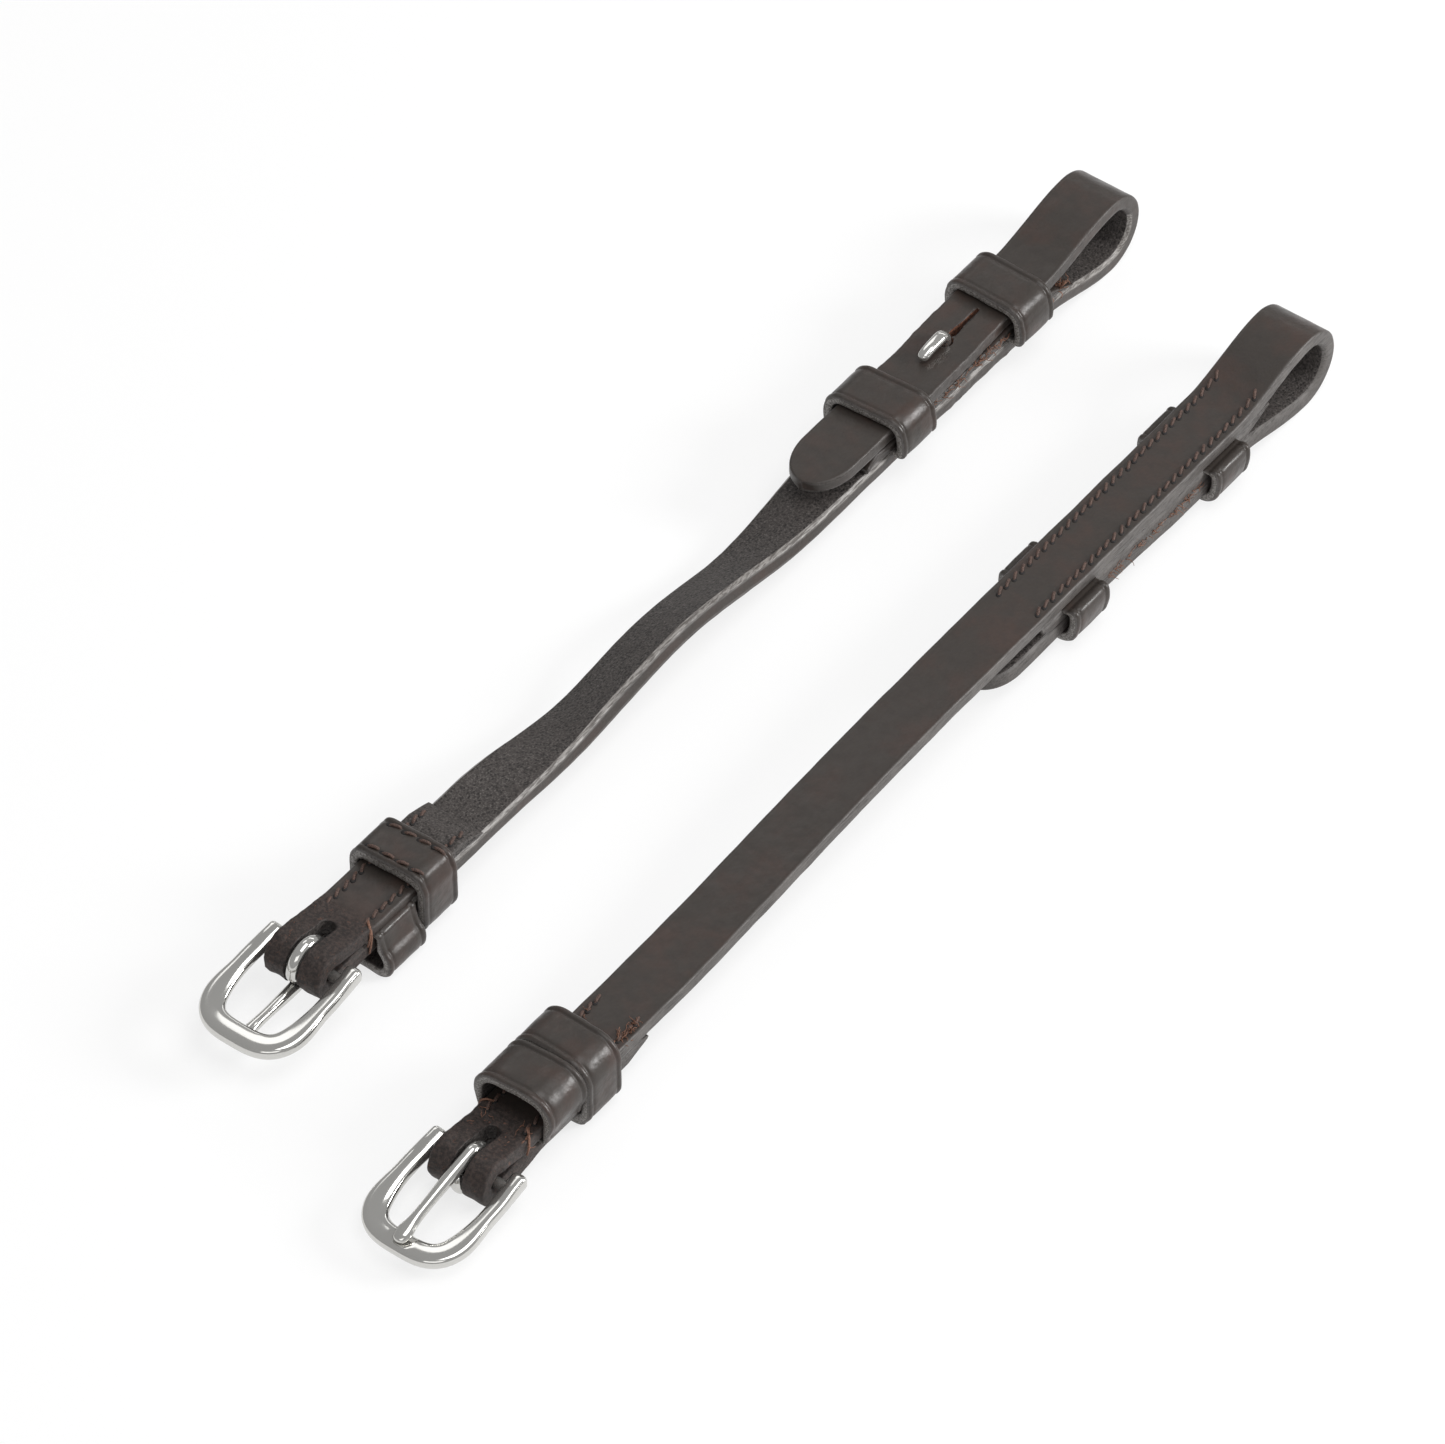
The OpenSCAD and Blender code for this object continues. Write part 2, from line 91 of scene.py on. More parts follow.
class TackColours(bpy.types.PropertyGroup):
    """Colours of the leather, thread and metal"""

    grain: colour("Grain", (0.038, 0.031, 0.0265), "Smooth side of the leather")
    grain_warm: colour("Warm grain", (0.050, 0.0325, 0.0265), "Warmer patches of the smooth side")
    flesh: colour("Flesh", (0.082, 0.072, 0.067), "Rough side of the leather")
    # Near black: painted shade in the pits of the rough side
    pore_shade: colour("Pores", (0.011, 0.009, 0.008), "Dark pores of the rough side")
    edge: colour("Edge", (0.088, 0.080, 0.075), "Burnished edge of the leather")
    bevel: colour("Bevel", (0.27, 0.255, 0.240), "Fibrous bevel along the rough side")
    raw: colour("Raw cut", (0.25, 0.095, 0.050), "Leather that was cut and not dyed")
    thread: colour("Thread", (0.150, 0.088, 0.067), "Sewing thread")
    fibre: colour("Fibre", (0.27, 0.135, 0.085), "Loose fibres and thread ends")
    steel: colour("Steel", (0.60, 0.59, 0.57), "Polished steel")


def sizes():
    return bpy.context.scene.tack_sizes


def colours():
    return bpy.context.scene.tack_colours


# ---- the cheekpieces' own frame, in millimetres
#
# Y runs from the buckle bar to the loop, X across the strap, Z from the smooth side to the rough side.
# A pair of values is (left, right).

# Width of the strap; thickness of the strap, of the chape (its pared, sewn-down end) and of the lining
STRAP_W, STRAP_T, CHAPE_T, LINING_T = 12.7, 3.4, 2.6, 2.6
# Places along the strap: the chape's end, the bare stretch's ends, the billet's tip and its rounding
CHAPE_LEN, BEND_FROM, BEND_TO = 44.0, 51.0, 163.0
BILLET_TIP, TIP_LEN = 150.0, 9.0
LOWER_KEEPER, UPPER_KEEPER = (170.0, 173.0), (209.0, 219.0)
# Keepers: width, thickness, and thickness of the ends in the seam
KEEPER_W, KEEPER_T, KEEPER_ROOT = 11.0, 2.0, 0.75
# Loop: length past its keeper, height, and how far it drops below the rough face
LOOP_LEN, LOOP_H, LOOP_DROP = 33.0, 11.2, 4.5
# Fixed keeper: its place, its gap under the smooth side, and its lean
FIXED_KEEPER, FIXED_GAP, FIXED_LEAN = 12.0, (4.6, 5.2), (3.0, 0.0)
# Runner: its place, its width, and its gap under the smooth side
RUNNER_Y, RUNNER_W, RUNNER_GAP = 23.35, 10.0, 4.6
# Room in a seam and round a strap; radius of the turn, where its sides meet, and where paring starts
SEAM, LOOP_FIT, TURN_R, NIP_Y, PARE_Y = 0.1, 0.35, 1.41, 8.0, 14.0
# Paring at the chape's end: its run and what is left at the end
PARE_RUN, PARE_END_T = 6, 0.4
# The billet's slit, the width of the tongue's slot, and the billet's punched hole
SLIT_LEN, SLOT_SHOWN, HOLE_R = 11.0, 3.2, 1.7
# Buckle frame: reach, half width, width of arm and nose, thickness, and the arms' run past the bar
FRAME_REACH, FRAME_HALF, ARM_W, NOSE_W, FRAME_T, ARM_TAIL = 22.0, 11.25, 3.7, 4.8, 2.6, 3.2
ARM_SPREAD, ARM_INSET, REST_RISE = 0.42, 0.45, 0.55
# Bar and tongue: radii of the bar, of the tongue's wire and of its eye
BAR_R, WIRE_R, EYE_R = 1.25, 1.28, 3.85
# Droop of the buckle, in degrees
DROOP = 6.0
# Hook stud: the hook's bend, its straight run and its fall; the base plate's half sizes, corners, thickness
HOOK_BEND, HOOK_RUN, HOOK_FALL = 1.7, 5.6, 0.75
PLATE_HALF, PLATE_ROUND, PLATE_T = (3.5, 5.0), 1.6, 0.7
# Bare stretch: dip, rise, roll in degrees, and the share of its length in which the roll comes and goes
BARE_DIP, BARE_RISE, BARE_ROLL, ROLL_RAMP = (2.4, 0.0), (1.0, -0.8), (27.0, 2.0), 0.34
# Unevenness of leather: swelling in width, lumps, and the turn's coarse and fine crumpling
SWELL, LUMP, CRUMPLE, FINE_CRUMPLE = 0.10, 0.05, 0.20, 0.13
# How far the billet wanders sideways, and how uneven its edges and the lining's are
WANDER, BILLET_UNEVEN, LINING_UNEVEN = 0.35, (0.36, 0.10), (0.5, 0.25)
# Wear: how far it runs past the turn, and the length of strap from the chape's end that can have it
WORN_RUN, WORN_WITHIN = 9, 120
# Stitch rows: inset from the strap's edge, and height over the leather
ROW_INSET, ROW_LIFT = 1.9, 0.02

BAR_Z = STRAP_T + SEAM / 2
CHAPE_TOP = STRAP_T + SEAM + CHAPE_T
LINING_TOP = STRAP_T + SEAM + LINING_T
BILLET_Z = LINING_TOP + SEAM
BILLET_TOP = BILLET_Z + STRAP_T
LOOP_R = LOOP_H / 2
LOOP_LOW = STRAP_T - LOOP_DROP
LOOP_HIGH = LOOP_LOW + LOOP_H
LOOP_MID = LOOP_LOW + LOOP_R
RUNNER_HALF = STRAP_W / 2 + LOOP_FIT + 0.1
KEEPER_HALF = STRAP_W / 2 + LOOP_FIT
RUNNER_TOP = CHAPE_TOP + 0.32 + LOOP_FIT
LAP_T, RUNNER_ROUND = 0.7, 1.8
REST_Z = (max(RUNNER_GAP, FIXED_GAP[LEFT]) + KEEPER_T, RUNNER_TOP + KEEPER_T + LAP_T)
HOOK_DZ = (LOOP_DROP - REST_Z[LEFT], REST_Z[RIGHT] - LOOP_HIGH - STRAP_T)


def bar_centre(side):
    """Where the buckle bar lies in the world, in millimetres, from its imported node."""
    low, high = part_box(f"{SIDES[side]}_buckle_bar")
    return (low + high) / 2 / MM


BAR = (bar_centre(LEFT), bar_centre(RIGHT))


def to_world(side, points):
    """Points of one cheekpiece's own frame, in millimetres, in their place in the world in metres."""
    p = np.asarray(points, float)
    bar = np.array(BAR[side])
    if side == LEFT:
        moved = p + [bar[0], bar[1], bar[2] - BAR_Z]
    else:
        moved = np.column_stack([bar[0] - p[:, 0], bar[1] + p[:, 1], bar[2] + BAR_Z - p[:, 2]])
    return moved * MM


def ease(u):
    v = min(max(u, 0.0), 1.0)
    return v * v * (3 - 2 * v)


def lerp(a, b, u):
    return a + (b - a) * u


def steps(a, b, size):
    """Values from a towards b, without b, about size apart."""
    n = max(1, round(abs(b - a) / size))
    return [a + (b - a) * i / n for i in range(n)]


def loop_from(side):
    return UPPER_KEEPER[side] + KEEPER_W + 1


def loop_centre(side):
    return UPPER_KEEPER[side] + KEEPER_W + LOOP_LEN - STRAP_T - LOOP_R


def hook_y(side):
    return UPPER_KEEPER[side] - SLIT_LEN - 1.5


def hook_flesh(side, y):
    u = (y - loop_from(side)) / (loop_centre(side) - loop_from(side))
    return HOOK_DZ[side] + lerp(STRAP_T, LOOP_LOW, ease(u))


def hook_slope(side, y):
    return math.degrees(math.atan((hook_flesh(side, y + 0.1) - hook_flesh(side, y - 0.1)) / 0.2))


def bare_z(side, u):
    wave = math.sin(2 * math.pi * u) ** 2
    return (
        lerp(STRAP_T, STRAP_T + HOOK_DZ[side], ease(u))
        - BARE_DIP[side] * wave
        + BARE_RISE[side] * math.sin(math.pi * u) ** 2
    )


def row(y, z, angle, t=STRAP_T, w=STRAP_W, x=0.0, across=(1, 0, 0)):
    """One row of a strap: its point on the flesh face, the way across, the way to the grain, width, thickness."""
    a = math.radians(angle)
    return (x, y, z), across, (0, math.cos(a), math.sin(a)), w, t


def strap_rows(side, size=0.6):
    """Rows of a whole strap, from the chape's end round the bar, along the cheek and the loop to the billet's tip."""
    z0 = STRAP_T + SEAM
    rows = [row(CHAPE_LEN, z0, 90, PARE_END_T / 2)]
    for y in steps(CHAPE_LEN - 0.3, CHAPE_LEN - PARE_RUN, size):
        rows.append(row(y, z0, 90, lerp(PARE_END_T, CHAPE_T, ((CHAPE_LEN - y) / PARE_RUN) ** 0.8)))
    rows += [row(y, z0, 90, CHAPE_T) for y in steps(CHAPE_LEN - PARE_RUN, PARE_Y, size)]
    for y in steps(PARE_Y, NIP_Y, size / 2):
        u = ease((PARE_Y - y) / (PARE_Y - NIP_Y))
        rows.append(row(y, z0, lerp(90, 85, u), lerp(CHAPE_T, STRAP_T, u)))
    opening = math.degrees(math.acos(TURN_R / NIP_Y))
    tangent = (TURN_R * math.cos(math.radians(opening)), TURN_R * math.sin(math.radians(opening)))
    for u in steps(0, 1, 0.07):
        rows.append(row(lerp(NIP_Y, tangent[0], u), lerp(z0, BAR_Z + tangent[1], u), lerp(85, opening, u)))
    for a in steps(opening, 360 - opening, 5):
        r = math.radians(a)
        rows.append(row(TURN_R * math.cos(r), BAR_Z + TURN_R * math.sin(r), a))
    for u in steps(0, 1, 0.07):
        turned = lerp(360 - opening, 270, ease(u))
        rows.append(row(lerp(tangent[0], NIP_Y, u), lerp(BAR_Z - tangent[1], STRAP_T, u), turned))
    rows += [row(y, STRAP_T, 270) for y in steps(NIP_Y, BEND_FROM, size)]
    for u in steps(0, 1, size / (BEND_TO - BEND_FROM)):
        rise = (bare_z(side, u + 0.01) - bare_z(side, u - 0.01)) / (0.02 * (BEND_TO - BEND_FROM))
        pitch = math.atan(rise)
        roll = math.radians(BARE_ROLL[side] * ease(u / ROLL_RAMP) * ease((1 - u) / ROLL_RAMP))
        across = Vector((math.cos(roll), 0, math.sin(roll)))
        way = Vector((0, math.cos(pitch), math.sin(pitch))).cross(across).normalized()
        centre = Vector((0, lerp(BEND_FROM, BEND_TO, u), bare_z(side, u) - STRAP_T / 2))
        rows.append((tuple(centre - way * STRAP_T / 2), tuple(across), tuple(way), STRAP_W, STRAP_T))
    rows += [row(y, hook_flesh(side, y), 270) for y in steps(BEND_TO, loop_from(side), size)]
    for y in steps(loop_from(side), loop_centre(side), size):
        rows.append(row(y, hook_flesh(side, y), 270 + hook_slope(side, y)))
    dz = HOOK_DZ[side]
    for a in steps(-90, 90, 5):
        r = math.radians(a)
        rows.append(row(loop_centre(side) + LOOP_R * math.cos(r), dz + LOOP_MID + LOOP_R * math.sin(r), a))
    span = loop_centre(side) - loop_from(side)
    for u in steps(1, 0, size / span):
        rise = (LOOP_HIGH - BILLET_Z) * (ease(u + 0.01) - ease(u - 0.01)) / 0.02
        z = dz + lerp(BILLET_Z, LOOP_HIGH, ease(u))
        rows.append(row(loop_from(side) + span * u, z, 90 + math.degrees(math.atan(rise / span))))
    z = dz + BILLET_Z
    rows += [row(y, z, 90) for y in steps(loop_from(side), BILLET_TIP + TIP_LEN, size)]
    for i in range(17):
        a = math.radians(89.0 * i / 16)
        y = BILLET_TIP + TIP_LEN * (1 - math.sin(a)) - (TIP_LEN * (1 - math.sin(math.radians(89))))
        rows.append(row(y, z, 90, STRAP_T * lerp(1, 0.78, i / 16), max(STRAP_W * math.cos(a) ** 0.9, 0.9)))
    return rows


def lining_rows(side):
    """Rows of a lining, thin at both ends."""
    start = LOWER_KEEPER[side] - 7
    stop = UPPER_KEEPER[side] + KEEPER_W + 11
    rows = []
    for y in steps(start, stop + 0.01, 0.6):
        t = lerp(LINING_T, 0.5, ease((y - loop_from(side) + 1) / 11))
        t *= lerp(0.45, 1, ease((y - start) / 3))
        slope = math.radians(hook_slope(side, y))
        way = (0, -math.sin(slope), math.cos(slope))
        rows.append(((0, y, hook_flesh(side, y) + SEAM), (-1, 0, 0), way, STRAP_W, t))
    return rows


# ---- meshes


def strap_section(side, columns=20):
    """Points round a strap's section, each with its share of the half width, its inset from there, its
    share of the thickness, its inset from there, and how much it is smooth face and how much edge."""
    bevel, rounding = sizes().flesh_bevel / MM, sizes().grain_round / MM
    out = []
    for i in range(columns + 1):
        a = -1 + 2 * i / columns
        out.append((a, bevel, 0.0, 0.0, 0.0, 0.0))
    out.append((1, bevel * 0.93, 0.0, bevel * 0.05, 0.0, 1.0))
    out.append((1, bevel * 0.5, 0.0, bevel * 0.47, 0.0, 1.0))
    out.append((1, bevel * 0.06, 0.0, bevel * 0.93, 0.0, 1.0))
    for d in (0.36, 0.5, 0.64, 0.78):
        out.append((1, 0.0, d, 0.0, (0.9, 0.2)[side], (0.12, 0.65)[side]))
    for a in (0, 30, 60, 90):
        r = math.radians(a)
        across, deep = rounding * (1 - math.cos(r)), -rounding * (1 - math.sin(r))
        out.append((1, across, 1.0, deep, lerp(0.4, 1, a / 90), 0.6 - a / 180))
    for i in range(1, columns):
        out.append((1 - 2 * i / columns, rounding, 1.0, 0.0, 1.0, 0.0))
    mirrored = [(-a, i, d, k, g, e) for a, i, d, k, g, e in out[columns + 1 : columns + 12]]
    return out + mirrored[::-1]


def skin(rings, sides, closed=False):
    """Faces over rings of points, closed to a loop or capped at both ends."""
    whole = rings * sides
    faces = []
    for i in range(rings if closed else rings - 1):
        for j in range(sides):
            a, b = i * sides + j, i * sides + (j + 1) % sides
            faces.append((a, b, (b + sides) % whole, (a + sides) % whole))
    if not closed:
        faces += [tuple(range(sides))[::-1], tuple(range(whole - sides, whole))]
    return faces


def sweep_strap(rows, side, seed, worn=None, wander=None, lumpy=None, skived=None):
    """Vertices, faces and point attributes of a strap swept through its rows."""
    section = strap_section(side)
    points, grain, edge, rough = [], [], [], []
    along, last = 0.0, None
    for p, across, way, w, t in rows:
        p, across, way = Vector(p), Vector(across), Vector(way)
        along += (p - last).length if last is not None else 0.0
        last = p
        swell = SWELL * noise.noise(Vector((along * 0.11, seed, 0)))
        uneven = lumpy(p.y) if lumpy else 0.0
        shift = wander(p.y, way.z) if wander else 0.0
        amount = worn(p.y, along) if worn else 0.0
        thin = min(1.0, t / 2.0)
        for a, inset, d, dip, g, e in section:
            half = max(w / 2 + swell - inset * min(1.0, w / 3) * thin, 0.05)
            depth = d * t + dip * thin * (1 if w > 3 else w / 3)
            q = p + across * (a * half + shift) + way * depth
            lump = LUMP * noise.noise(q * 0.35 + Vector((seed, 0, 0)))
            crumple = amount * CRUMPLE * noise.noise(q * 0.55 + Vector((0, seed, 0)))
            crumple += amount * FINE_CRUMPLE * noise.noise(q * 1.5 + Vector((0, 0, seed)))
            if uneven and abs(a) > 0.99:
                wave = noise.noise(Vector((a * 9, along * 0.16, seed)))
                wave += 0.35 * noise.noise(Vector((d * 3, along * 0.6, seed)))
                q += across * a * uneven * wave
            if d > 0.5:
                q += way * (lump + crumple)
            elif abs(a) > 0.99:
                q += across * a * (lump + crumple * 0.6)
            points.append(q)
            grain.append(g * (1 - skived(p.y, along)) if skived else g)
            edge.append(e * (0.5 if way.z > 0.3 else (1.0, 0.76)[side] if e > 0.9 else 1.0))
            rough.append(amount)
    marks = {"grain": grain, "edge": edge, "rough": rough}
    return to_world(side, points), skin(len(rows), len(section)), marks


def make_piece(name, vertices, faces, finish, marks=None, smooth=True):
    """A mesh object from world points, with faces outwards, its material and its point attributes."""
    mesh = bpy.data.meshes.new(name)
    mesh.from_pydata([tuple(v) for v in vertices], [], faces)
    mesh.update()
    for key, values in (marks or {}).items():
        layer = mesh.attributes.new(key, "FLOAT", "POINT")
        layer.data.foreach_set("value", np.asarray(values, np.float32))
    bm = bmesh.new()
    bm.from_mesh(mesh)
    bmesh.ops.recalc_face_normals(bm, faces=bm.faces)
    bm.to_mesh(mesh)
    bm.free()
    for polygon in mesh.polygons:
        polygon.use_smooth = smooth
    mesh.materials.append(finish_of(finish))
    return link(name, mesh)


def link(name, data):
    """A new object in the scene."""
    thing = bpy.data.objects.new(name, data)
    bpy.context.scene.collection.objects.link(thing)
    return thing


def cut(piece, cutter):
    """Takes the cutter out of the piece; the cut faces keep the cutter's material."""
    modifier = piece.modifiers.new("cut", "BOOLEAN")
    modifier.operation = "DIFFERENCE"
    modifier.solver = "EXACT"
    modifier.object = cutter
    modifier.material_mode = "TRANSFER"
    apply_modifiers(piece)
    bpy.data.objects.remove(cutter)


def apply_modifiers(piece):
    """Replaces the piece's mesh by its evaluated one, and removes its modifiers."""
    graph = bpy.context.evaluated_depsgraph_get()
    mesh = bpy.data.meshes.new_from_object(piece.evaluated_get(graph))
    piece.modifiers.clear()
    piece.data = mesh


def settle(piece, side, body, slot, *nodes):
    """Puts a finished piece on its side's body, in place of the CAD nodes that it stands for."""
    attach(piece, f"{SIDES[side]}_{body}")
    if nodes:
        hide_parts(*(f"{SIDES[side]}_{node}" for node in nodes))


def outline_prism(name, outline, low, high, side, finish):
    """A prism: an outline in X and Y, between two heights."""
    points = [(x, y, z) for z in (low, high) for x, y in outline]
    return make_piece(name, to_world(side, points), skin(2, len(outline)), finish, smooth=False)


def tube(spine, sides, square=1.0):
    """Vertices and faces of a capped tube. The spine's rows are point, radius and, where it isn't round,
    height over width; a power under 1 for square makes its section squarer."""
    ends = [Vector(p[0]) for p in spine]
    rings, normal = [], None
    for i, (_, r, *flat) in enumerate(spine):
        ahead = (ends[min(i + 1, len(ends) - 1)] - ends[max(i - 1, 0)]).normalized()
        if normal is None:
            normal = Vector((1, 0, 0)) if abs(ahead.x) < 0.9 else Vector((0, 0, 1))
        normal = (normal - ahead * normal.dot(ahead)).normalized()
        other = ahead.cross(normal)
        k = flat[0] if flat else 1.0
        for j in range(sides):
            a = 2 * math.pi * j / sides
            c, s = (math.copysign(abs(v) ** square, v) for v in (math.cos(a), math.sin(a)))
            rings.append(ends[i] + normal * r * c + other * r * k * s)
    return rings, skin(len(spine), sides)


def rounded_loop(half, low, high, low_r, high_r, lean=0.0, size=0.4):
    """Points and outward ways of a rounded rectangle in X and Z, evenly spaced. Lean shifts its low end."""
    corners = (
        (half - high_r, high - high_r, high_r, 0), (high_r - half, high - high_r, high_r, 90),
        (low_r - half, low + low_r, low_r, 180), (half - low_r, low + low_r, low_r, 270),
    )
    raw = []
    for cx, cz, r, start in corners:
        for i in range(13):
            a = math.radians(start + 90 * i / 12)
            raw.append(((cx + r * math.cos(a), cz + r * math.sin(a)), (math.cos(a), math.sin(a))))
    out = []
    for i, (p, q) in enumerate(raw):
        p2, q2 = raw[(i + 1) % len(raw)]
        gap = math.dist(p, p2)
        for u in steps(0, 1, size / gap) if gap > 1e-6 else []:
            x, z = lerp(p[0], p2[0], u), lerp(p[1], p2[1], u)
            nx, nz = lerp(q[0], q2[0], u), lerp(q[1], q2[1], u)
            out.append((x, z, nx, nz))
    leaned = []
    for x, z, nx, nz in out:
        norm = math.hypot(nx, nz)
        leaned.append((x + (lean * z / low if z < 0 else 0.0), z, nx / norm, nz / norm))
    return leaned


def band_section(width):
    """Points round a keeper's section: place along the width, share of the thickness, sink, grain, edge."""
    rounding = sizes().keeper_round / MM
    inset, depth = sizes().crease_inset / MM, sizes().crease_depth / MM
    out = []
    for i in range(11):
        out.append((lerp(rounding, width - rounding, i / 10), 0.0, 0.0, 0.0, 0.0))
    out.append((width - rounding * 0.3, 0.0, rounding * 0.3, 0.0, 1.0))
    for d in (0.3, 0.5, 0.7):
        out.append((width, d, 0.0, 0.25, 1.0))
    for a in (30, 60):
        r = math.radians(a)
        out.append(
            (width - rounding * (1 - math.cos(r)), 1.0, -rounding * (1 - math.sin(r)), a / 90, 0.8 - a / 90)
        )
    spots = [width - rounding, width - inset + 0.45, width - inset + 0.2, width - inset, width - inset - 0.25]
    middle = [lerp(width - inset - 0.6, inset + 0.6, i / 8) for i in range(9)]
    spots += middle + [width - s for s in spots[::-1]]
    for s in spots:
        near = min(abs(s - inset), abs(s - (width - inset)))
        sink = -depth * max(0.0, 1 - near / 0.42)
        lip = 0.10 if s < inset - 0.3 or s > width - inset + 0.3 else 0.0
        out.append((s, 1.0, sink + lip, 1.0, 0.0))
    for a in (60, 30):
        r = math.radians(a)
        out.append((rounding * (1 - math.cos(r)), 1.0, -rounding * (1 - math.sin(r)), a / 90, 0.8 - a / 90))
    for d in (0.7, 0.5, 0.3):
        out.append((0.0, d, 0.0, 0.25, 1.0))
    out.append((rounding * 0.3, 0.0, rounding * 0.3, 0.0, 1.0))
    return out


def band(name, side, path, y, width, thickness, seed, dz=0.0, skew=0.0, bulge=0.0, belly=None):
    """A closed loop of leather round Y. thickness(x, z) is in millimetres at a point of the path.

    belly is (lowest z, highest z, how far the walls stand out between them)."""
    section = band_section(width)
    points = []
    for x, z, nx, nz in path:
        t = thickness(x, z)
        for s, d, sink, _, _ in section:
            u = s / width - 0.5
            out = d * t + sink * min(1.0, t / 1.6) + bulge * (0.25 - u * u) * (1 if d > 0.5 else 0.0)
            q = Vector((x + nx * out, y + s + skew * x * 0.05, dz + z + nz * out))
            if belly:
                share = min(max((z - belly[0]) / (belly[1] - belly[0]), 0.0), 1.0)
                stand = belly[2] * math.sin(math.pi * share)
                q.x += math.copysign(stand, x) * min(abs(x) / KEEPER_HALF, 1.0) ** 4
            wave = noise.noise(Vector((x * 0.3, z * 0.3, seed)))
            q.y += 0.16 * wave * (1 if abs(u) > 0.4 else 0.3)
            push = 0.07 * noise.noise(q * 0.45 + Vector((seed, 0, 0))) * (1 if d > 0.4 else 0.0)
            points.append(q + Vector((nx, 0, nz)) * push)
    marks = {"grain": [p[3] for p in section] * len(path), "edge": [p[4] for p in section] * len(path)}
    marks["rough"] = [0.0] * len(points)
    faces = skin(len(path), len(section), closed=True)
    return make_piece(name, to_world(side, points), faces, "havana_leather", marks)


# ---- materials


class Tree:
    """Short names for making nodes."""

    def __init__(self, tree):
        self.tree = tree

    def put(self, socket, value):
        """Links another socket or a node's first output to the socket, or sets its own value."""
        if isinstance(value, bpy.types.Node):
            value = value.outputs[0]
        if isinstance(value, bpy.types.NodeSocket):
            self.tree.links.new(value, socket)
        elif socket.type == "RGBA":
            socket.default_value = (*value, 1)
        else:
            socket.default_value = value

    def add(self, kind, inputs=(), **settings):
        node = self.tree.nodes.new(kind)
        for key, value in settings.items():
            setattr(node, key, value)
        for key, value in dict(inputs).items():
            self.put(node.inputs[key], value)
        return node

    def math(self, operation, a, b=0.0):
        return self.add("ShaderNodeMath", {0: a, 1: b}, operation=operation)


class Finish(Tree):
    """A material's nodes. Sizes are in millimetres."""

    def __init__(self, name):
        self.material = bpy.data.materials.new(name)
        self.material.use_nodes = True
        super().__init__(self.material.node_tree)
        self.place = self.add("ShaderNodeTexCoord").outputs["Object"]

    def shade(self, **values):
        """Sets the shader's inputs, such as base_color, and gives the material."""
        shader = self.tree.nodes["Principled BSDF"]
        names = {socket.name.lower().replace(" ", "_"): socket for socket in shader.inputs}
        for key, value in values.items():
            self.put(names[key], value)
        return self.material

    def stretched(self, x, y, z):
        return self.add("ShaderNodeMapping", {"Vector": self.place, "Scale": (x, y, z)})

    def noise(self, size, detail=3.0, rough=0.55, place=None, warp=0.0):
        inputs = {"Scale": 1 / (size * MM), "Detail": detail, "Roughness": rough, "Distortion": warp}
        return self.add("ShaderNodeTexNoise", {"Vector": place or self.place, **inputs}).outputs["Fac"]

    def cells(self, size, place, feature="F1"):
        inputs = {"Vector": place, "Scale": 1 / (size * MM)}
        return self.add("ShaderNodeTexVoronoi", inputs, feature=feature).outputs["Distance"]

    def attribute(self, name):
        return self.add("ShaderNodeAttribute", attribute_name=name, attribute_type="GEOMETRY").outputs["Fac"]

    def ramp(self, value, low, high, to_low=0.0, to_high=1.0):
        inputs = {"Value": value, "From Min": low, "From Max": high, "To Min": to_low, "To Max": to_high}
        return self.add("ShaderNodeMapRange", inputs, interpolation_type="SMOOTHSTEP")

    def mix(self, fac, a, b):
        return self.add("ShaderNodeMix", data_type="RGBA", inputs={"Factor": fac, 6: a, 7: b}).outputs[2]

    def blend(self, fac, a, b):
        return self.add("ShaderNodeMix", {0: fac, 2: a, 3: b}, data_type="FLOAT")

    def bump(self, height, depth, strength, under=None):
        inputs = {"Height": height, "Distance": depth * MM, "Strength": strength}
        return self.add("ShaderNodeBump", {**inputs, "Normal": under} if under else inputs)


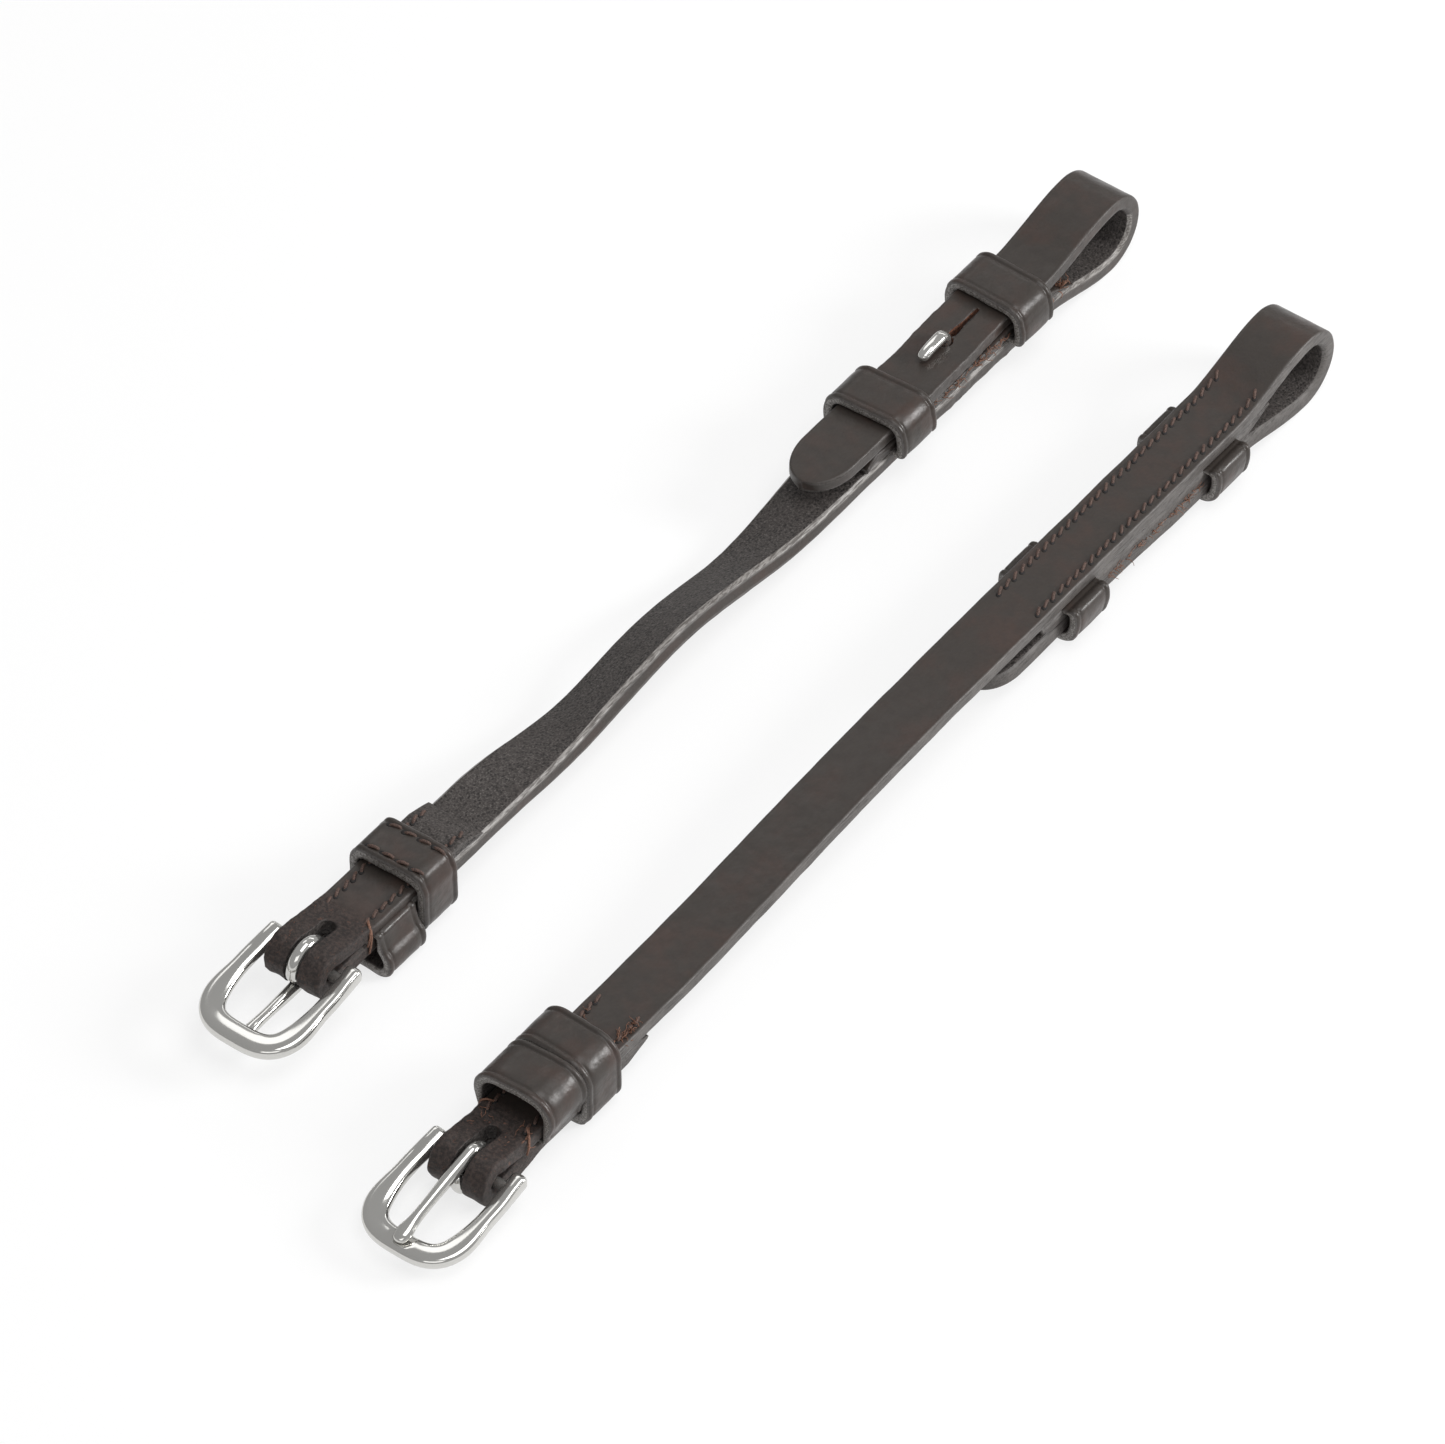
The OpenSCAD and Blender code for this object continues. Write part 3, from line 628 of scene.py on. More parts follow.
def leather_material():
    """Dyed bridle leather: smooth grain, porous rough side with painted shade in its pits, burnished edges and a worn,
    rough turn.
    """
    m, c = Finish("havana_leather"), colours()
    grain, edge, rough = m.attribute("grain"), m.attribute("edge"), m.attribute("rough")
    mottle, cloud, fine = m.noise(9.0, 4.0, 0.6), m.noise(2.2, 5.0, 0.65), m.noise(0.42, 4.0, 0.75)
    # Pits of the rough side: dents in the bump, which are also darkened as painted shade
    dots = m.ramp(m.cells(0.66, m.stretched(1.0, 0.8, 1.0)), 0.20, 0.50, 1.0, 0.0)
    pit_dents_and_shade = m.math("MULTIPLY", dots, m.ramp(m.noise(1.3, 2.0, 0.6), 0.34, 0.46))
    smooth = m.mix(m.ramp(mottle, 0.42, 0.68), c.grain, c.grain_warm)
    smooth = m.mix(m.ramp(cloud, 0.35, 0.75, 0.0, 0.35), smooth, (0.022, 0.018, 0.016))
    napped = m.mix(m.ramp(fine, 0.40, 0.62), (0.032, 0.027, 0.025), c.flesh)
    napped = m.mix(m.ramp(fine, 0.56, 0.74), napped, (0.17, 0.155, 0.145))
    # Painted shade: the pits are mixed towards near black
    napped = m.mix(m.math("MULTIPLY", pit_dents_and_shade, 0.85), napped, c.pore_shade)
    napped = m.mix(m.ramp(mottle, 0.40, 0.75, 0.0, 0.45), napped, (0.040, 0.032, 0.029))
    streak = m.noise(0.35, 4.0, 0.7, m.stretched(1.0, 0.09, 1.0))
    side = m.mix(m.ramp(streak, 0.44, 0.70), c.edge, (0.040, 0.035, 0.032))
    side = m.mix(m.ramp(m.noise(5.0, 2.0, 0.5), 0.45, 0.7, 0.0, 0.5), side, (0.125, 0.114, 0.106))
    frayed = m.mix(m.ramp(streak, 0.38, 0.62), c.bevel, (0.085, 0.075, 0.068))
    side = m.mix(m.ramp(edge, 0.70, 0.95), side, frayed)
    body = m.mix(m.ramp(edge, 0.05, 0.5), m.mix(grain, napped, smooth), side)
    worn = m.mix(m.ramp(m.noise(0.7, 5.0, 0.75), 0.40, 0.62), (0.013, 0.009, 0.008), (0.052, 0.036, 0.031))
    worn = m.mix(m.ramp(m.noise(0.9, 4.0, 0.8, warp=1.5), 0.60, 0.74), worn, c.raw)
    gloss = m.blend(grain, 0.66, m.ramp(cloud, 0.3, 0.75, 0.31, 0.46))
    gloss = m.blend(edge, gloss, m.ramp(streak, 0.35, 0.7, 0.36, 0.56))
    wrinkle = m.math("MULTIPLY", m.cells(0.55, m.stretched(1.0, 0.75, 1.0), "SMOOTH_F1"), 0.35)
    height = m.blend(grain, m.math("SUBTRACT", fine, m.math("MULTIPLY", pit_dents_and_shade, 0.9)), wrinkle)
    height = m.blend(edge, height, streak)
    height = m.blend(rough, height, m.math("MULTIPLY", m.noise(0.8, 5.0, 0.75), 3.0))
    return m.shade(
        base_color=m.mix(m.ramp(rough, 0.15, 0.85, 0.0, 0.88), body, worn),
        roughness=m.blend(rough, gloss, 0.62),
        normal=m.bump(m.noise(6.0, 3.0, 0.5), 0.25, 0.5, m.bump(height, 0.10, 0.75)),
        specular_ior_level=0.42,
    )


def raw_material():
    """Cut leather that was not dyed: reddish brown fibres."""
    m = Finish("raw_cut_leather")
    fibres = m.noise(0.25, 5.0, 0.75, m.stretched(1.0, 0.35, 1.0))
    base = m.mix(m.ramp(fibres, 0.35, 0.68), (0.035, 0.018, 0.012), colours().raw)
    return m.shade(base_color=base, roughness=0.85, normal=m.bump(fibres, 0.2, 0.9))


def thread_material(name, light, dark):
    """Waxed linen thread, with its twist."""
    m = Finish(name)
    ply = m.noise(0.16, 2.0, 0.6)
    base = m.mix(m.ramp(ply, 0.35, 0.7), dark, light)
    return m.shade(base_color=base, roughness=0.7, normal=m.bump(ply, 0.08, 0.8))


def steel_material():
    """Polished steel with faint rubbing marks."""
    m = Finish("polished_steel")
    haze = m.noise(3.0, 4.0, 0.6)
    marks = m.noise(0.25, 3.0, 0.6, m.stretched(1.0, 0.12, 1.0))
    return m.shade(
        base_color=m.mix(m.ramp(haze, 0.35, 0.7, 0.0, 0.5), colours().steel, (0.50, 0.487, 0.465)),
        metallic=1.0,
        roughness=m.ramp(haze, 0.3, 0.7, 0.13, 0.24),
        normal=m.bump(m.noise(4.0, 2.0, 0.5), 0.10, 0.6, m.bump(marks, 0.004, 0.5)),
    )


MATERIAL_MAKERS = {
    "havana_leather": leather_material,
    "raw_cut_leather": raw_material,
    "brown_thread": lambda: thread_material("brown_thread", colours().thread, (0.028, 0.016, 0.013)),
    # The needle-hole material is near black: painted shade for the pits beside the stitches
    "needle_hole": lambda: thread_material("needle_hole", (0.012, 0.009, 0.008), (0.005, 0.004, 0.004)),
    "loose_fibre": lambda: thread_material("loose_fibre", colours().fibre, (0.10, 0.045, 0.028)),
    "polished_steel": steel_material,
}


def finish_of(name):
    """The material of that name, made when first asked for."""
    return bpy.data.materials.get(name) or MATERIAL_MAKERS[name]()


# ---- stitches, as Geometry Nodes


# Shape of the near-black blob beside a stitch, painted shade for its needle hole, in thread radii: across, along, deep
HOLE_SHADE_SHAPE = (1.75, 2.1, 0.34)


def stitch_tree():
    """Stitches along a path: at every pitch a small arch of thread and, for its needle hole, a near-black
    blob of painted shade, turned about the path's own up."""
    found = bpy.data.node_groups.get("stitch_row")
    if found:
        return found
    group = bpy.data.node_groups.new("stitch_row", "GeometryNodeTree")
    for name, kind, value in (
        ("Rows", "Geometry", None), ("Pitch", "Float", 0.0025), ("Length", "Float", 0.002),
        ("Thread radius", "Float", 0.0003), ("Sag", "Float", 0.0003), ("Slant", "Float", 0.3),
        ("Unevenness", "Float", 0.1), ("Seed", "Int", 7), ("Thread", "Material", None), ("Hole", "Material", None),
    ):
        socket = group.interface.new_socket(name, in_out="INPUT", socket_type=f"NodeSocket{kind}")
        if value is not None:
            socket.default_value = value
    group.interface.new_socket("Stitches", in_out="OUTPUT", socket_type="NodeSocketGeometry")
    t = Tree(group)
    given = t.add("NodeGroupInput").outputs

    def scaled(name, factor):
        return t.math("MULTIPLY", given[name], factor)

    def vector(**parts):
        return t.add("ShaderNodeCombineXYZ", parts)

    def named(name, kind):
        return t.add("GeometryNodeInputNamedAttribute", {"Name": name}, data_type=kind)

    curve = t.add("GeometryNodeMeshToCurve", {"Mesh": given["Rows"]})
    spaced = t.add("GeometryNodeResampleCurve", mode="LENGTH", inputs={"Curve": curve, "Length": given["Pitch"]})

    half, back, down = scaled("Length", 0.5), scaled("Length", -0.5), scaled("Sag", -1.0)
    handles = {
        "Start": vector(Y=back, Z=down), "Start Handle": vector(Y=back, Z=given["Sag"]),
        "End Handle": vector(Y=half, Z=given["Sag"]), "End": vector(Y=half, Z=down),
    }
    arch = t.add("GeometryNodeCurvePrimitiveBezierSegment", {"Resolution": 7, **handles}, mode="POSITION")
    ring = t.add("GeometryNodeCurvePrimitiveCircle", {"Resolution": 8, "Radius": given["Thread radius"]}, mode="RADIUS")
    solid = t.add("GeometryNodeCurveToMesh", {"Curve": arch, "Profile Curve": ring, "Fill Caps": True})

    # A near-black squashed sphere beside each stitch: painted shade of its needle hole
    pit = t.add("GeometryNodeMeshUVSphere", {"Segments": 8, "Rings": 4, "Radius": given["Thread radius"]})
    pressed = t.add("GeometryNodeTransform", {"Geometry": pit, "Scale": HOLE_SHADE_SHAPE, "Translation": vector(Y=back)})
    marked = t.add(
        "GeometryNodeStoreNamedAttribute", {"Geometry": pressed, "Name": "hole", "Value": True},
        data_type="BOOLEAN", domain="FACE",
    )
    whole = t.add("GeometryNodeJoinGeometry", {"Geometry": solid})
    t.put(whole.inputs["Geometry"], marked)

    facing = t.add(
        "FunctionNodeAxesToRotation", primary_axis="Z", secondary_axis="Y",
        inputs={"Primary Axis": named("up", "FLOAT_VECTOR"), "Secondary Axis": t.add("GeometryNodeInputTangent")},
    )
    uneven = {"Seed": given["Seed"], 2: scaled("Unevenness", -1.0), 3: given["Unevenness"]}
    jitter = t.add("FunctionNodeRandomValue", uneven, data_type="FLOAT").outputs[1]
    slanted = t.add("FunctionNodeEulerToRotation", {0: vector(Z=t.math("ADD", given["Slant"], jitter))})
    turned = t.add("FunctionNodeRotateRotation", {0: facing, 1: slanted}, rotation_space="LOCAL")
    placed = t.add("GeometryNodeInstanceOnPoints", {"Points": spaced, "Instance": whole, "Rotation": turned})
    real = t.add("GeometryNodeRealizeInstances", {"Geometry": placed})
    coat = t.add("GeometryNodeSetMaterial", {"Geometry": real, "Material": given["Thread"]})
    holes = {"Geometry": coat, "Selection": named("hole", "BOOLEAN"), "Material": given["Hole"]}
    t.add("NodeGroupOutput", {"Stitches": t.add("GeometryNodeSetMaterial", holes)})
    return group


def sew(name, side, rows, body, node, slant=0.32, pitch=None, stitch=None):
    """One piece of stitching. Each row is a list of (point, up) in the cheekpiece's own frame."""
    places, edges = [], []
    for line in rows:
        edges += [(len(places) + i, len(places) + i + 1) for i in range(len(line) - 1)]
        places += line
    flip = np.array([1, 1, 1] if side == LEFT else [-1, 1, -1])
    mesh = bpy.data.meshes.new(f"{SIDES[side]}_{name}")
    mesh.from_pydata([tuple(v) for v in to_world(side, [p for p, _ in places])], edges, [])
    layer = mesh.attributes.new("up", "FLOAT_VECTOR", "POINT")
    layer.data.foreach_set("vector", (np.array([up for _, up in places]) * flip).astype(np.float32).ravel())
    piece = link(f"{SIDES[side]}_{name}", mesh)
    modifier = piece.modifiers.new("stitches", "NODES")
    modifier.node_group = stitch_tree()
    s = sizes()
    values = {
        "Pitch": pitch or s.stitch_pitch, "Length": stitch or s.stitch_length, "Thread radius": s.thread_radius,
        "Sag": s.thread_radius * 1.15, "Slant": slant, "Unevenness": 0.14, "Seed": 11 + side,
        "Thread": finish_of("brown_thread"), "Hole": finish_of("needle_hole"),
    }
    for item in modifier.node_group.interface.items_tree:
        if item.in_out == "INPUT" and item.name in values:
            modifier[item.identifier] = values[item.name]
    apply_modifiers(piece)
    for polygon in piece.data.polygons:
        polygon.use_smooth = True
    settle(piece, side, body, "thread", node)


# ---- operators

DONE = {"FINISHED"}


class TACK_OT_straps(bpy.types.Operator):
    """Make both straps: turn, bare stretch, loop and billet, with the tongue slot, hole and slit"""

    bl_idname = "tack.straps"
    bl_label = "Straps"

    def execute(self, context):
        for side, name in enumerate(SIDES):
            start, stop = LOWER_KEEPER[side], loop_from(side)

            def worn(y, along):
                return ease((NIP_Y + WORN_RUN - y) / WORN_RUN) if along <= WORN_WITHIN else 0.0

            def wander(y, way_z):
                u = (y - start) / (stop - start)
                return WANDER * math.sin(2 * math.pi * u) if way_z > 0 and 0 < u < 1 else 0.0

            def lumpy(y):
                return BILLET_UNEVEN[side] * ease((y - start) / 10) * ease((stop - y) / 8)

            def skived(y, along):
                return ease((y - CHAPE_LEN + 11) / 4) if along < 14 else 0.0

            points, faces, marks = sweep_strap(strap_rows(side), side, 3.0 + 5 * side, worn, wander, lumpy, skived)
            strap = make_piece(f"{name}_cheek_strap", points, faces, "havana_leather", marks)
            slot = rounded_slot(SLOT_SHOWN / 2, -NIP_Y - 1, NIP_Y)
            cut(strap, outline_prism("slot", slot, -STRAP_T - 1, CHAPE_TOP + STRAP_T + 1, side, "havana_leather"))
            low, high = HOOK_DZ[side] + LINING_TOP - 0.4, HOOK_DZ[side] + BILLET_TOP + 2
            cut(strap, outline_prism("hole", keyhole(side), low, high, side, "raw_cut_leather"))
            settle(strap, side, "cheekpiece", "leather", "strap")
        return DONE


def rounded_slot(half, start, stop):
    arc = [math.radians(180 * i / 12) for i in range(13)]
    return [(-half, start), (half, start)] + [(half * math.cos(a), stop - half + half * math.sin(a)) for a in arc]


def keyhole(side):
    """The punched hole with its slit, whose lips are a little uneven."""
    y, opening = hook_y(side), math.asin(0.42 / HOLE_R)
    arc = [math.pi / 2 + opening + (2 * math.pi - 2 * opening) * i / 28 for i in range(29)]
    hole = [(HOLE_R * math.cos(a), y + HOLE_R * math.sin(a)) for a in arc]
    lips = []
    for i in range(1, 13):
        u = i / 12
        lips.append((0.78 * (1 - 0.6 * u) * (1 + 0.2 * math.sin(9 * u)), y + HOLE_R + (SLIT_LEN - HOLE_R) * u))
    return hole + lips + [(-x * 0.9, yy + 0.15) for x, yy in lips[::-1]]


class TACK_OT_linings(bpy.types.Operator):
    """Make the linings sewn behind both hook ends"""

    bl_idname = "tack.linings"
    bl_label = "Linings"

    def execute(self, context):
        for side, name in enumerate(SIDES):
            points, faces, marks = sweep_strap(
                lining_rows(side), side, 21.0 + 5 * side, lumpy=lambda y: LINING_UNEVEN[side]
            )
            lining = make_piece(f"{name}_hook_lining", points, faces, "havana_leather", marks)
            settle(lining, side, "cheekpiece", "leather", "lining")
        return DONE


class TACK_OT_hook_keepers(bpy.types.Operator):
    """Make the four keepers that hold the billets down"""

    bl_idname = "tack.hook_keepers"
    bl_label = "Hook keepers"

    def execute(self, context):
        root, top = BAR_Z, BILLET_TOP + LOOP_FIT

        def thickness(x, z):
            above = max(ease((z - root - KEEPER_ROOT) / 1.2), ease((abs(x) - 6.25) / 0.4))
            return lerp(KEEPER_ROOT, KEEPER_T, above)

        path = rounded_loop(KEEPER_HALF, root + KEEPER_ROOT, top, 0.5, 1.35)
        for side, name in enumerate(SIDES):
            for which, y, skew in (("lower", LOWER_KEEPER[side], 1.0), ("upper", UPPER_KEEPER[side], -0.6)):
                keeper = band(
                    f"{name}_{which}_hook_keeper", side, path, y, KEEPER_W, thickness,
                    31.0 + side * 7 + y * 0.1, HOOK_DZ[side], skew, 0.3, (root - 2.0, top, 0.85),
                )
                settle(keeper, side, "cheekpiece", "leather", f"{which}_keeper")
        return DONE


class TACK_OT_fixed_keepers(bpy.types.Operator):
    """Make the fixed keepers next to the buckles"""

    bl_idname = "tack.fixed_keepers"
    bl_label = "Fixed keepers"

    def execute(self, context):
        def thickness(x, z):
            return lerp(KEEPER_T, KEEPER_ROOT, ease((z + 1.5) / 4.9))

        for side, name in enumerate(SIDES):
            path = rounded_loop(KEEPER_HALF, -FIXED_GAP[side], BAR_Z, 3.4, 0.35, FIXED_LEAN[side])
            keeper = band(
                f"{name}_buckle_keeper", side, path, FIXED_KEEPER, KEEPER_W, thickness, 51.0 + side, skew=-0.8
            )
            settle(keeper, side, "cheekpiece", "leather", "fixed_keeper")
        return DONE


class TACK_OT_runners(bpy.types.Operator):
    """Make the sliding runners, each a lapped and sewn band"""

    bl_idname = "tack.runners"
    bl_label = "Runners"

    def execute(self, context):
        def thickness(x, z):
            return KEEPER_T + LAP_T * ease((z - RUNNER_TOP + 0.9) / 0.8) * ease((x + RUNNER_HALF - 0.3) / 0.8)

        path = rounded_loop(RUNNER_HALF, -RUNNER_GAP, RUNNER_TOP, 3.2, RUNNER_ROUND)
        for side, name in enumerate(SIDES):
            runner = band(
                f"{name}_sliding_runner", side, path, RUNNER_Y, RUNNER_W, thickness, 61.0 + side * 3,
                skew=0.5, bulge=0.35,
            )
            settle(runner, side, "runner", "leather", "runner")
        return DONE


def drooped(side, points):
    """Points of the buckle's own frame, with the bar at its origin, turned by its droop and put at the bar."""
    a = math.radians(DROOP if side == LEFT else -DROOP)
    p = np.asarray([tuple(q) for q in points], float)
    y = p[:, 1] * math.cos(a) - p[:, 2] * math.sin(a)
    z = p[:, 1] * math.sin(a) + p[:, 2] * math.cos(a)
    return np.column_stack([p[:, 0], y, z + BAR_Z])


def frame_path(size=0.45):
    """Centre line of the buckle's frame: (x, y, way out x, way out y, way along)."""
    arm, mid, nose, corner = FRAME_HALF - ARM_W / 2 - ARM_INSET, -8.5, FRAME_REACH - NOSE_W / 2 + 0.6, 2 / 3.3
    wide = arm + ARM_SPREAD
    raw = [(arm + ARM_SPREAD * ease((ARM_TAIL - y) / 9), y) for y in steps(ARM_TAIL, mid, 0.25)]
    for i in range(61):
        a = math.pi / 2 * i / 60
        raw.append((wide * math.cos(a) ** corner if i < 60 else 0.0, mid - (nose + mid) * math.sin(a) ** corner))
    raw += [(-x, y) for x, y in raw[-2::-1]]
    lengths = [0.0]
    for p, q in zip(raw, raw[1:]):
        lengths.append(lengths[-1] + math.dist(p, q))
    count = round(lengths[-1] / size)
    at = [lengths[-1] * i / count for i in range(count + 1)]
    xs = np.interp(at, lengths, [p[0] for p in raw])
    ys = np.interp(at, lengths, [p[1] for p in raw])
    dx, dy = np.gradient(xs), np.gradient(ys)
    norm = np.hypot(dx, dy)
    return [(x, y, -v / n, u / n, min(w, lengths[-1] - w)) for x, y, u, v, n, w in zip(xs, ys, dx, dy, norm, at)]


# Section of the frame from its inner to its outer edge and back: shares of half the width and thickness
FRAME_FACE = (
    (-1.0, 0.20), (-0.97, 0.52), (-0.88, 0.80), (-0.74, 0.95), (-0.5, 1.02), (-0.1, 1.0), (0.3, 0.92),
    (0.60, 0.80), (0.80, 0.62), (0.93, 0.36), (1.0, 0.05),
)
FRAME_BACK = (
    (0.97, -0.35), (0.86, -0.66), (0.66, -0.80), (0.3, -0.92), (-0.1, -1.0), (-0.5, -1.02),
    (-0.76, -0.92), (-0.9, -0.68), (-0.98, -0.3),
)


class TACK_OT_buckle_frames(bpy.types.Operator):
    """Make the horseshoe buckle frames, bevelled on their face, with a rest for the tongue"""

    bl_idname = "tack.buckle_frames"
    bl_label = "Buckle frames"

    def execute(self, context):
        path, section = frame_path(), FRAME_FACE + FRAME_BACK
        points = []
        for x, y, ox, oy, along in path:
            width = lerp(ARM_W - 0.25, NOSE_W + 0.15, ease((-y - 7) / 9))
            thick = lerp(FRAME_T + 0.45, FRAME_T, ease((along - 3) / 4))
            tuck = 0.80 + 0.20 * math.sin(min(along / 0.7, 1.0) * math.pi / 2)
            for u, v in section:
                px, py = x - ox * u * width / 2 * tuck, y - oy * u * width / 2 * tuck
                pz = -v * thick / 2 * tuck
                if v > 0:
                    rest = math.exp(-((px / 1.9) ** 4)) * ease((-py - FRAME_REACH + NOSE_W + 0.4) / 0.7)
                    pz += REST_RISE * rest * ease((py + FRAME_REACH - 0.8) / 1.2) * v
                points.append((px, py, pz))
        for side, name in enumerate(SIDES):
            placed = to_world(side, drooped(side, points))
            horseshoe = make_piece(f"{name}_horseshoe_frame", placed, skin(len(path), len(section)), "polished_steel")
            for cap in list(horseshoe.data.polygons)[-2:]:
                cap.use_smooth = False
            settle(horseshoe, side, "buckle", "polished_steel", "buckle_frame")
        return DONE


class TACK_OT_buckle_bars(bpy.types.Operator):
    """Make the buckle bars, shouldered pins between the frames' arms"""

    bl_idname = "tack.buckle_bars"
    bl_label = "Buckle bars"

    def execute(self, context):
        reach = FRAME_HALF - ARM_W + 0.9
        pin = [-reach, -reach + 0.05] + [lerp(-reach + 0.3, reach - 0.3, i / 24) for i in range(25)]
        spine = [
            ((x, 0, 0), BAR_R - 0.12 * ease((reach - abs(x) - 0.4) / 0.5)) for x in pin + [reach - 0.05, reach]
        ]
        ring, faces = tube(spine, 24)
        for side, name in enumerate(SIDES):
            bar = make_piece(f"{name}_bar_pin", to_world(side, drooped(side, ring)), faces, "polished_steel")
            settle(bar, side, "buckle", "polished_steel", "buckle_bar")
        return DONE


class TACK_OT_tongues(bpy.types.Operator):
    """Make the buckle tongues: an eye round the bar, a waisted shank and a spoon-shaped tip"""

    bl_idname = "tack.tongues"
    bl_label = "Buckle tongues"

    def execute(self, context):
        tip_y, tip_z = -(FRAME_REACH - 1.7), -(FRAME_T / 2 + 0.55)
        spine = []
        for a in steps(203, -84, 6):
            r, lead = math.radians(a), ease((203 - a) / 26)
            thick = WIRE_R * lerp(0.82, 1.12, lead) * lerp(1, 0.92, ease((70 - a) / 150))
            spine.append(((0, EYE_R * math.cos(r), EYE_R * math.sin(r)), thick, lerp(0.9, 1.0, lead)))
        start, stop = Vector(spine[-1][0]), Vector((0, tip_y, tip_z))
        for u in steps(0.03, 1.0, 0.03):
            p = start.lerp(stop, u)
            p.z -= 0.35 * math.sin(math.pi * u) * (1 - u)
            waist = 1 - 0.16 * math.exp(-(((u - 0.62) / 0.22) ** 2))
            spoon = 0.34 * math.exp(-(((u - 0.93) / 0.085) ** 2))
            spine.append((tuple(p), WIRE_R * (waist + spoon), lerp(1.0, 0.62, ease((u - 0.72) / 0.2))))
        for a in (25, 50, 70, 85):
            r = math.radians(a)
            spine.append(((0, tip_y - 1.0 * math.sin(r), tip_z), WIRE_R * 1.12 * math.cos(r), 0.6))
        ring, faces = tube(spine, 16)
        for side, name in enumerate(SIDES):
            tongue = make_piece(f"{name}_tongue_wire", to_world(side, drooped(side, ring)), faces, "polished_steel")
            settle(tongue, side, "tongue", "polished_steel", "buckle_tongue")
        return DONE


class TACK_OT_hook_studs(bpy.types.Operator):
    """Make the hook studs: base, shank and the flat-topped hook"""

    bl_idname = "tack.hook_studs"
    bl_label = "Hook studs"

    def execute(self, context):
        neck, bend, flat = BILLET_TOP + 0.35, HOOK_BEND, 0.80
        for side, name in enumerate(SIDES):
            y0, dz = hook_y(side), HOOK_DZ[side]
            spine = [((0, y0, dz + z), 1.2) for z in steps(BAR_Z, neck, 0.6)]
            for a in steps(0, 90, 9):
                r = math.radians(a)
                place = (0, y0 - bend + bend * math.cos(r), dz + neck + bend * math.sin(r))
                spine.append((place, lerp(1.15, 1.28, a / 90), lerp(1.0, flat, a / 90)))
            for u in steps(0, 1, 0.09):
                place = (0, y0 - bend - HOOK_RUN * u, dz + neck + bend - HOOK_FALL * u ** 2.4)
                spine.append((place, lerp(1.28, 1.15, u), flat))
            _, end_y, end_z = spine[-1][0]
            for a in (20, 40, 60, 75, 86):
                r = math.radians(a)
                place = (0, end_y - 1.25 * math.sin(r), end_z - 0.3 * math.sin(r))
                spine.append((place, 1.15 * math.cos(r), flat))
            ring, faces = tube(spine, 24, 0.72)
            hook = make_piece(f"{name}_hook", to_world(side, ring), faces, "polished_steel")
            plate, bottom = rounded_plate(*PLATE_HALF, PLATE_ROUND, y0), dz + BAR_Z
            base = outline_prism("base", plate, bottom, bottom + PLATE_T, side, "polished_steel")
            bm = bmesh.new()
            bm.from_mesh(hook.data)
            bm.from_mesh(base.data)
            bm.to_mesh(hook.data)
            bm.free()
            bpy.data.objects.remove(base)
            settle(hook, side, "cheekpiece", "polished_steel", "hook_stud")
        return DONE


def rounded_plate(half_x, half_y, r, y0):
    out = []
    for cx, cy, start in ((1, 1, 0), (-1, 1, 90), (-1, -1, 180), (1, -1, 270)):
        for i in range(6):
            a = math.radians(start + 18 * i)
            out.append((cx * (half_x - r) + r * math.cos(a), y0 + cy * (half_y - r) + r * math.sin(a)))
    return out


def wavering(x, seed, y):
    return x + 0.12 * noise.noise(Vector((y * 0.25, seed, x)))


def over_chape(x, y):
    """A stitch place on the chape's outer face, which falls where its end is pared, and its way up."""
    def face(at):
        return STRAP_T + SEAM + lerp(PARE_END_T, CHAPE_T, min((CHAPE_LEN - at) / PARE_RUN, 1.0) ** 0.8)

    return (x, y, face(y) + ROW_LIFT), (0, (face(y - 0.1) - face(y + 0.1)) / 0.2, 1)


def under_hook(side, x, y):
    """A stitch place on the smooth face of the hook end, and its way up."""
    tilt, out = math.radians(hook_slope(side, y)), STRAP_T + ROW_LIFT
    place = (x, y + out * math.sin(tilt), hook_flesh(side, y) - out * math.cos(tilt))
    return place, (0, math.sin(tilt), -math.cos(tilt))


def over_runner(along, y):
    """A stitch place on a runner's lap and its way up; past the flat, along follows the rounded corner."""
    flat, outer = RUNNER_HALF - RUNNER_ROUND, RUNNER_ROUND + KEEPER_T + LAP_T + 0.06
    turn = max(abs(along) - flat, 0.0) / outer
    x = min(abs(along), flat) + outer * math.sin(turn)
    z = RUNNER_TOP - RUNNER_ROUND + outer * math.cos(turn)
    sign = math.copysign(1, along)
    return (sign * x, y, z), (sign * math.sin(turn), 0, math.cos(turn))


class TACK_OT_stitching(bpy.types.Operator):
    """Sew the chapes, the linings and the runners"""

    bl_idname = "tack.stitching"
    bl_label = "Stitching"

    def execute(self, context):
        columns = (ROW_INSET - STRAP_W / 2, STRAP_W / 2 - ROW_INSET)
        for side in (LEFT, RIGHT):
            rows = []
            for x in columns:
                rows.append([over_chape(wavering(x, 3, y), y) for y in steps(PARE_Y - 4.5, CHAPE_LEN - 3.2, 1.0)])
                rows.append([((wavering(x, 5, y), y, -ROW_LIFT), (0, 0, -1)) for y in steps(11.0, CHAPE_LEN, 1.0)])
            sew("chape_rows", side, rows, "cheekpiece", "chape_stitching")
            span = steps(LOWER_KEEPER[side] - 6, loop_from(side) + 9, 1.0)
            rows = [[under_hook(side, wavering(x, 9, y), y) for y in span] for x in columns]
            sew("lining_rows", side, rows, "cheekpiece", "lining_stitching", 0.42)
            rows = [
                [over_runner(u, RUNNER_Y + y + 0.02 * u) for u in steps(-4.2, 6.4, 0.5)] for y in (1.7, RUNNER_W - 1.8)
            ]
            sew("runner_rows", side, rows, "runner", "runner_stitching", 0.2, 2.7 * MM, 2.2 * MM)
        return DONE


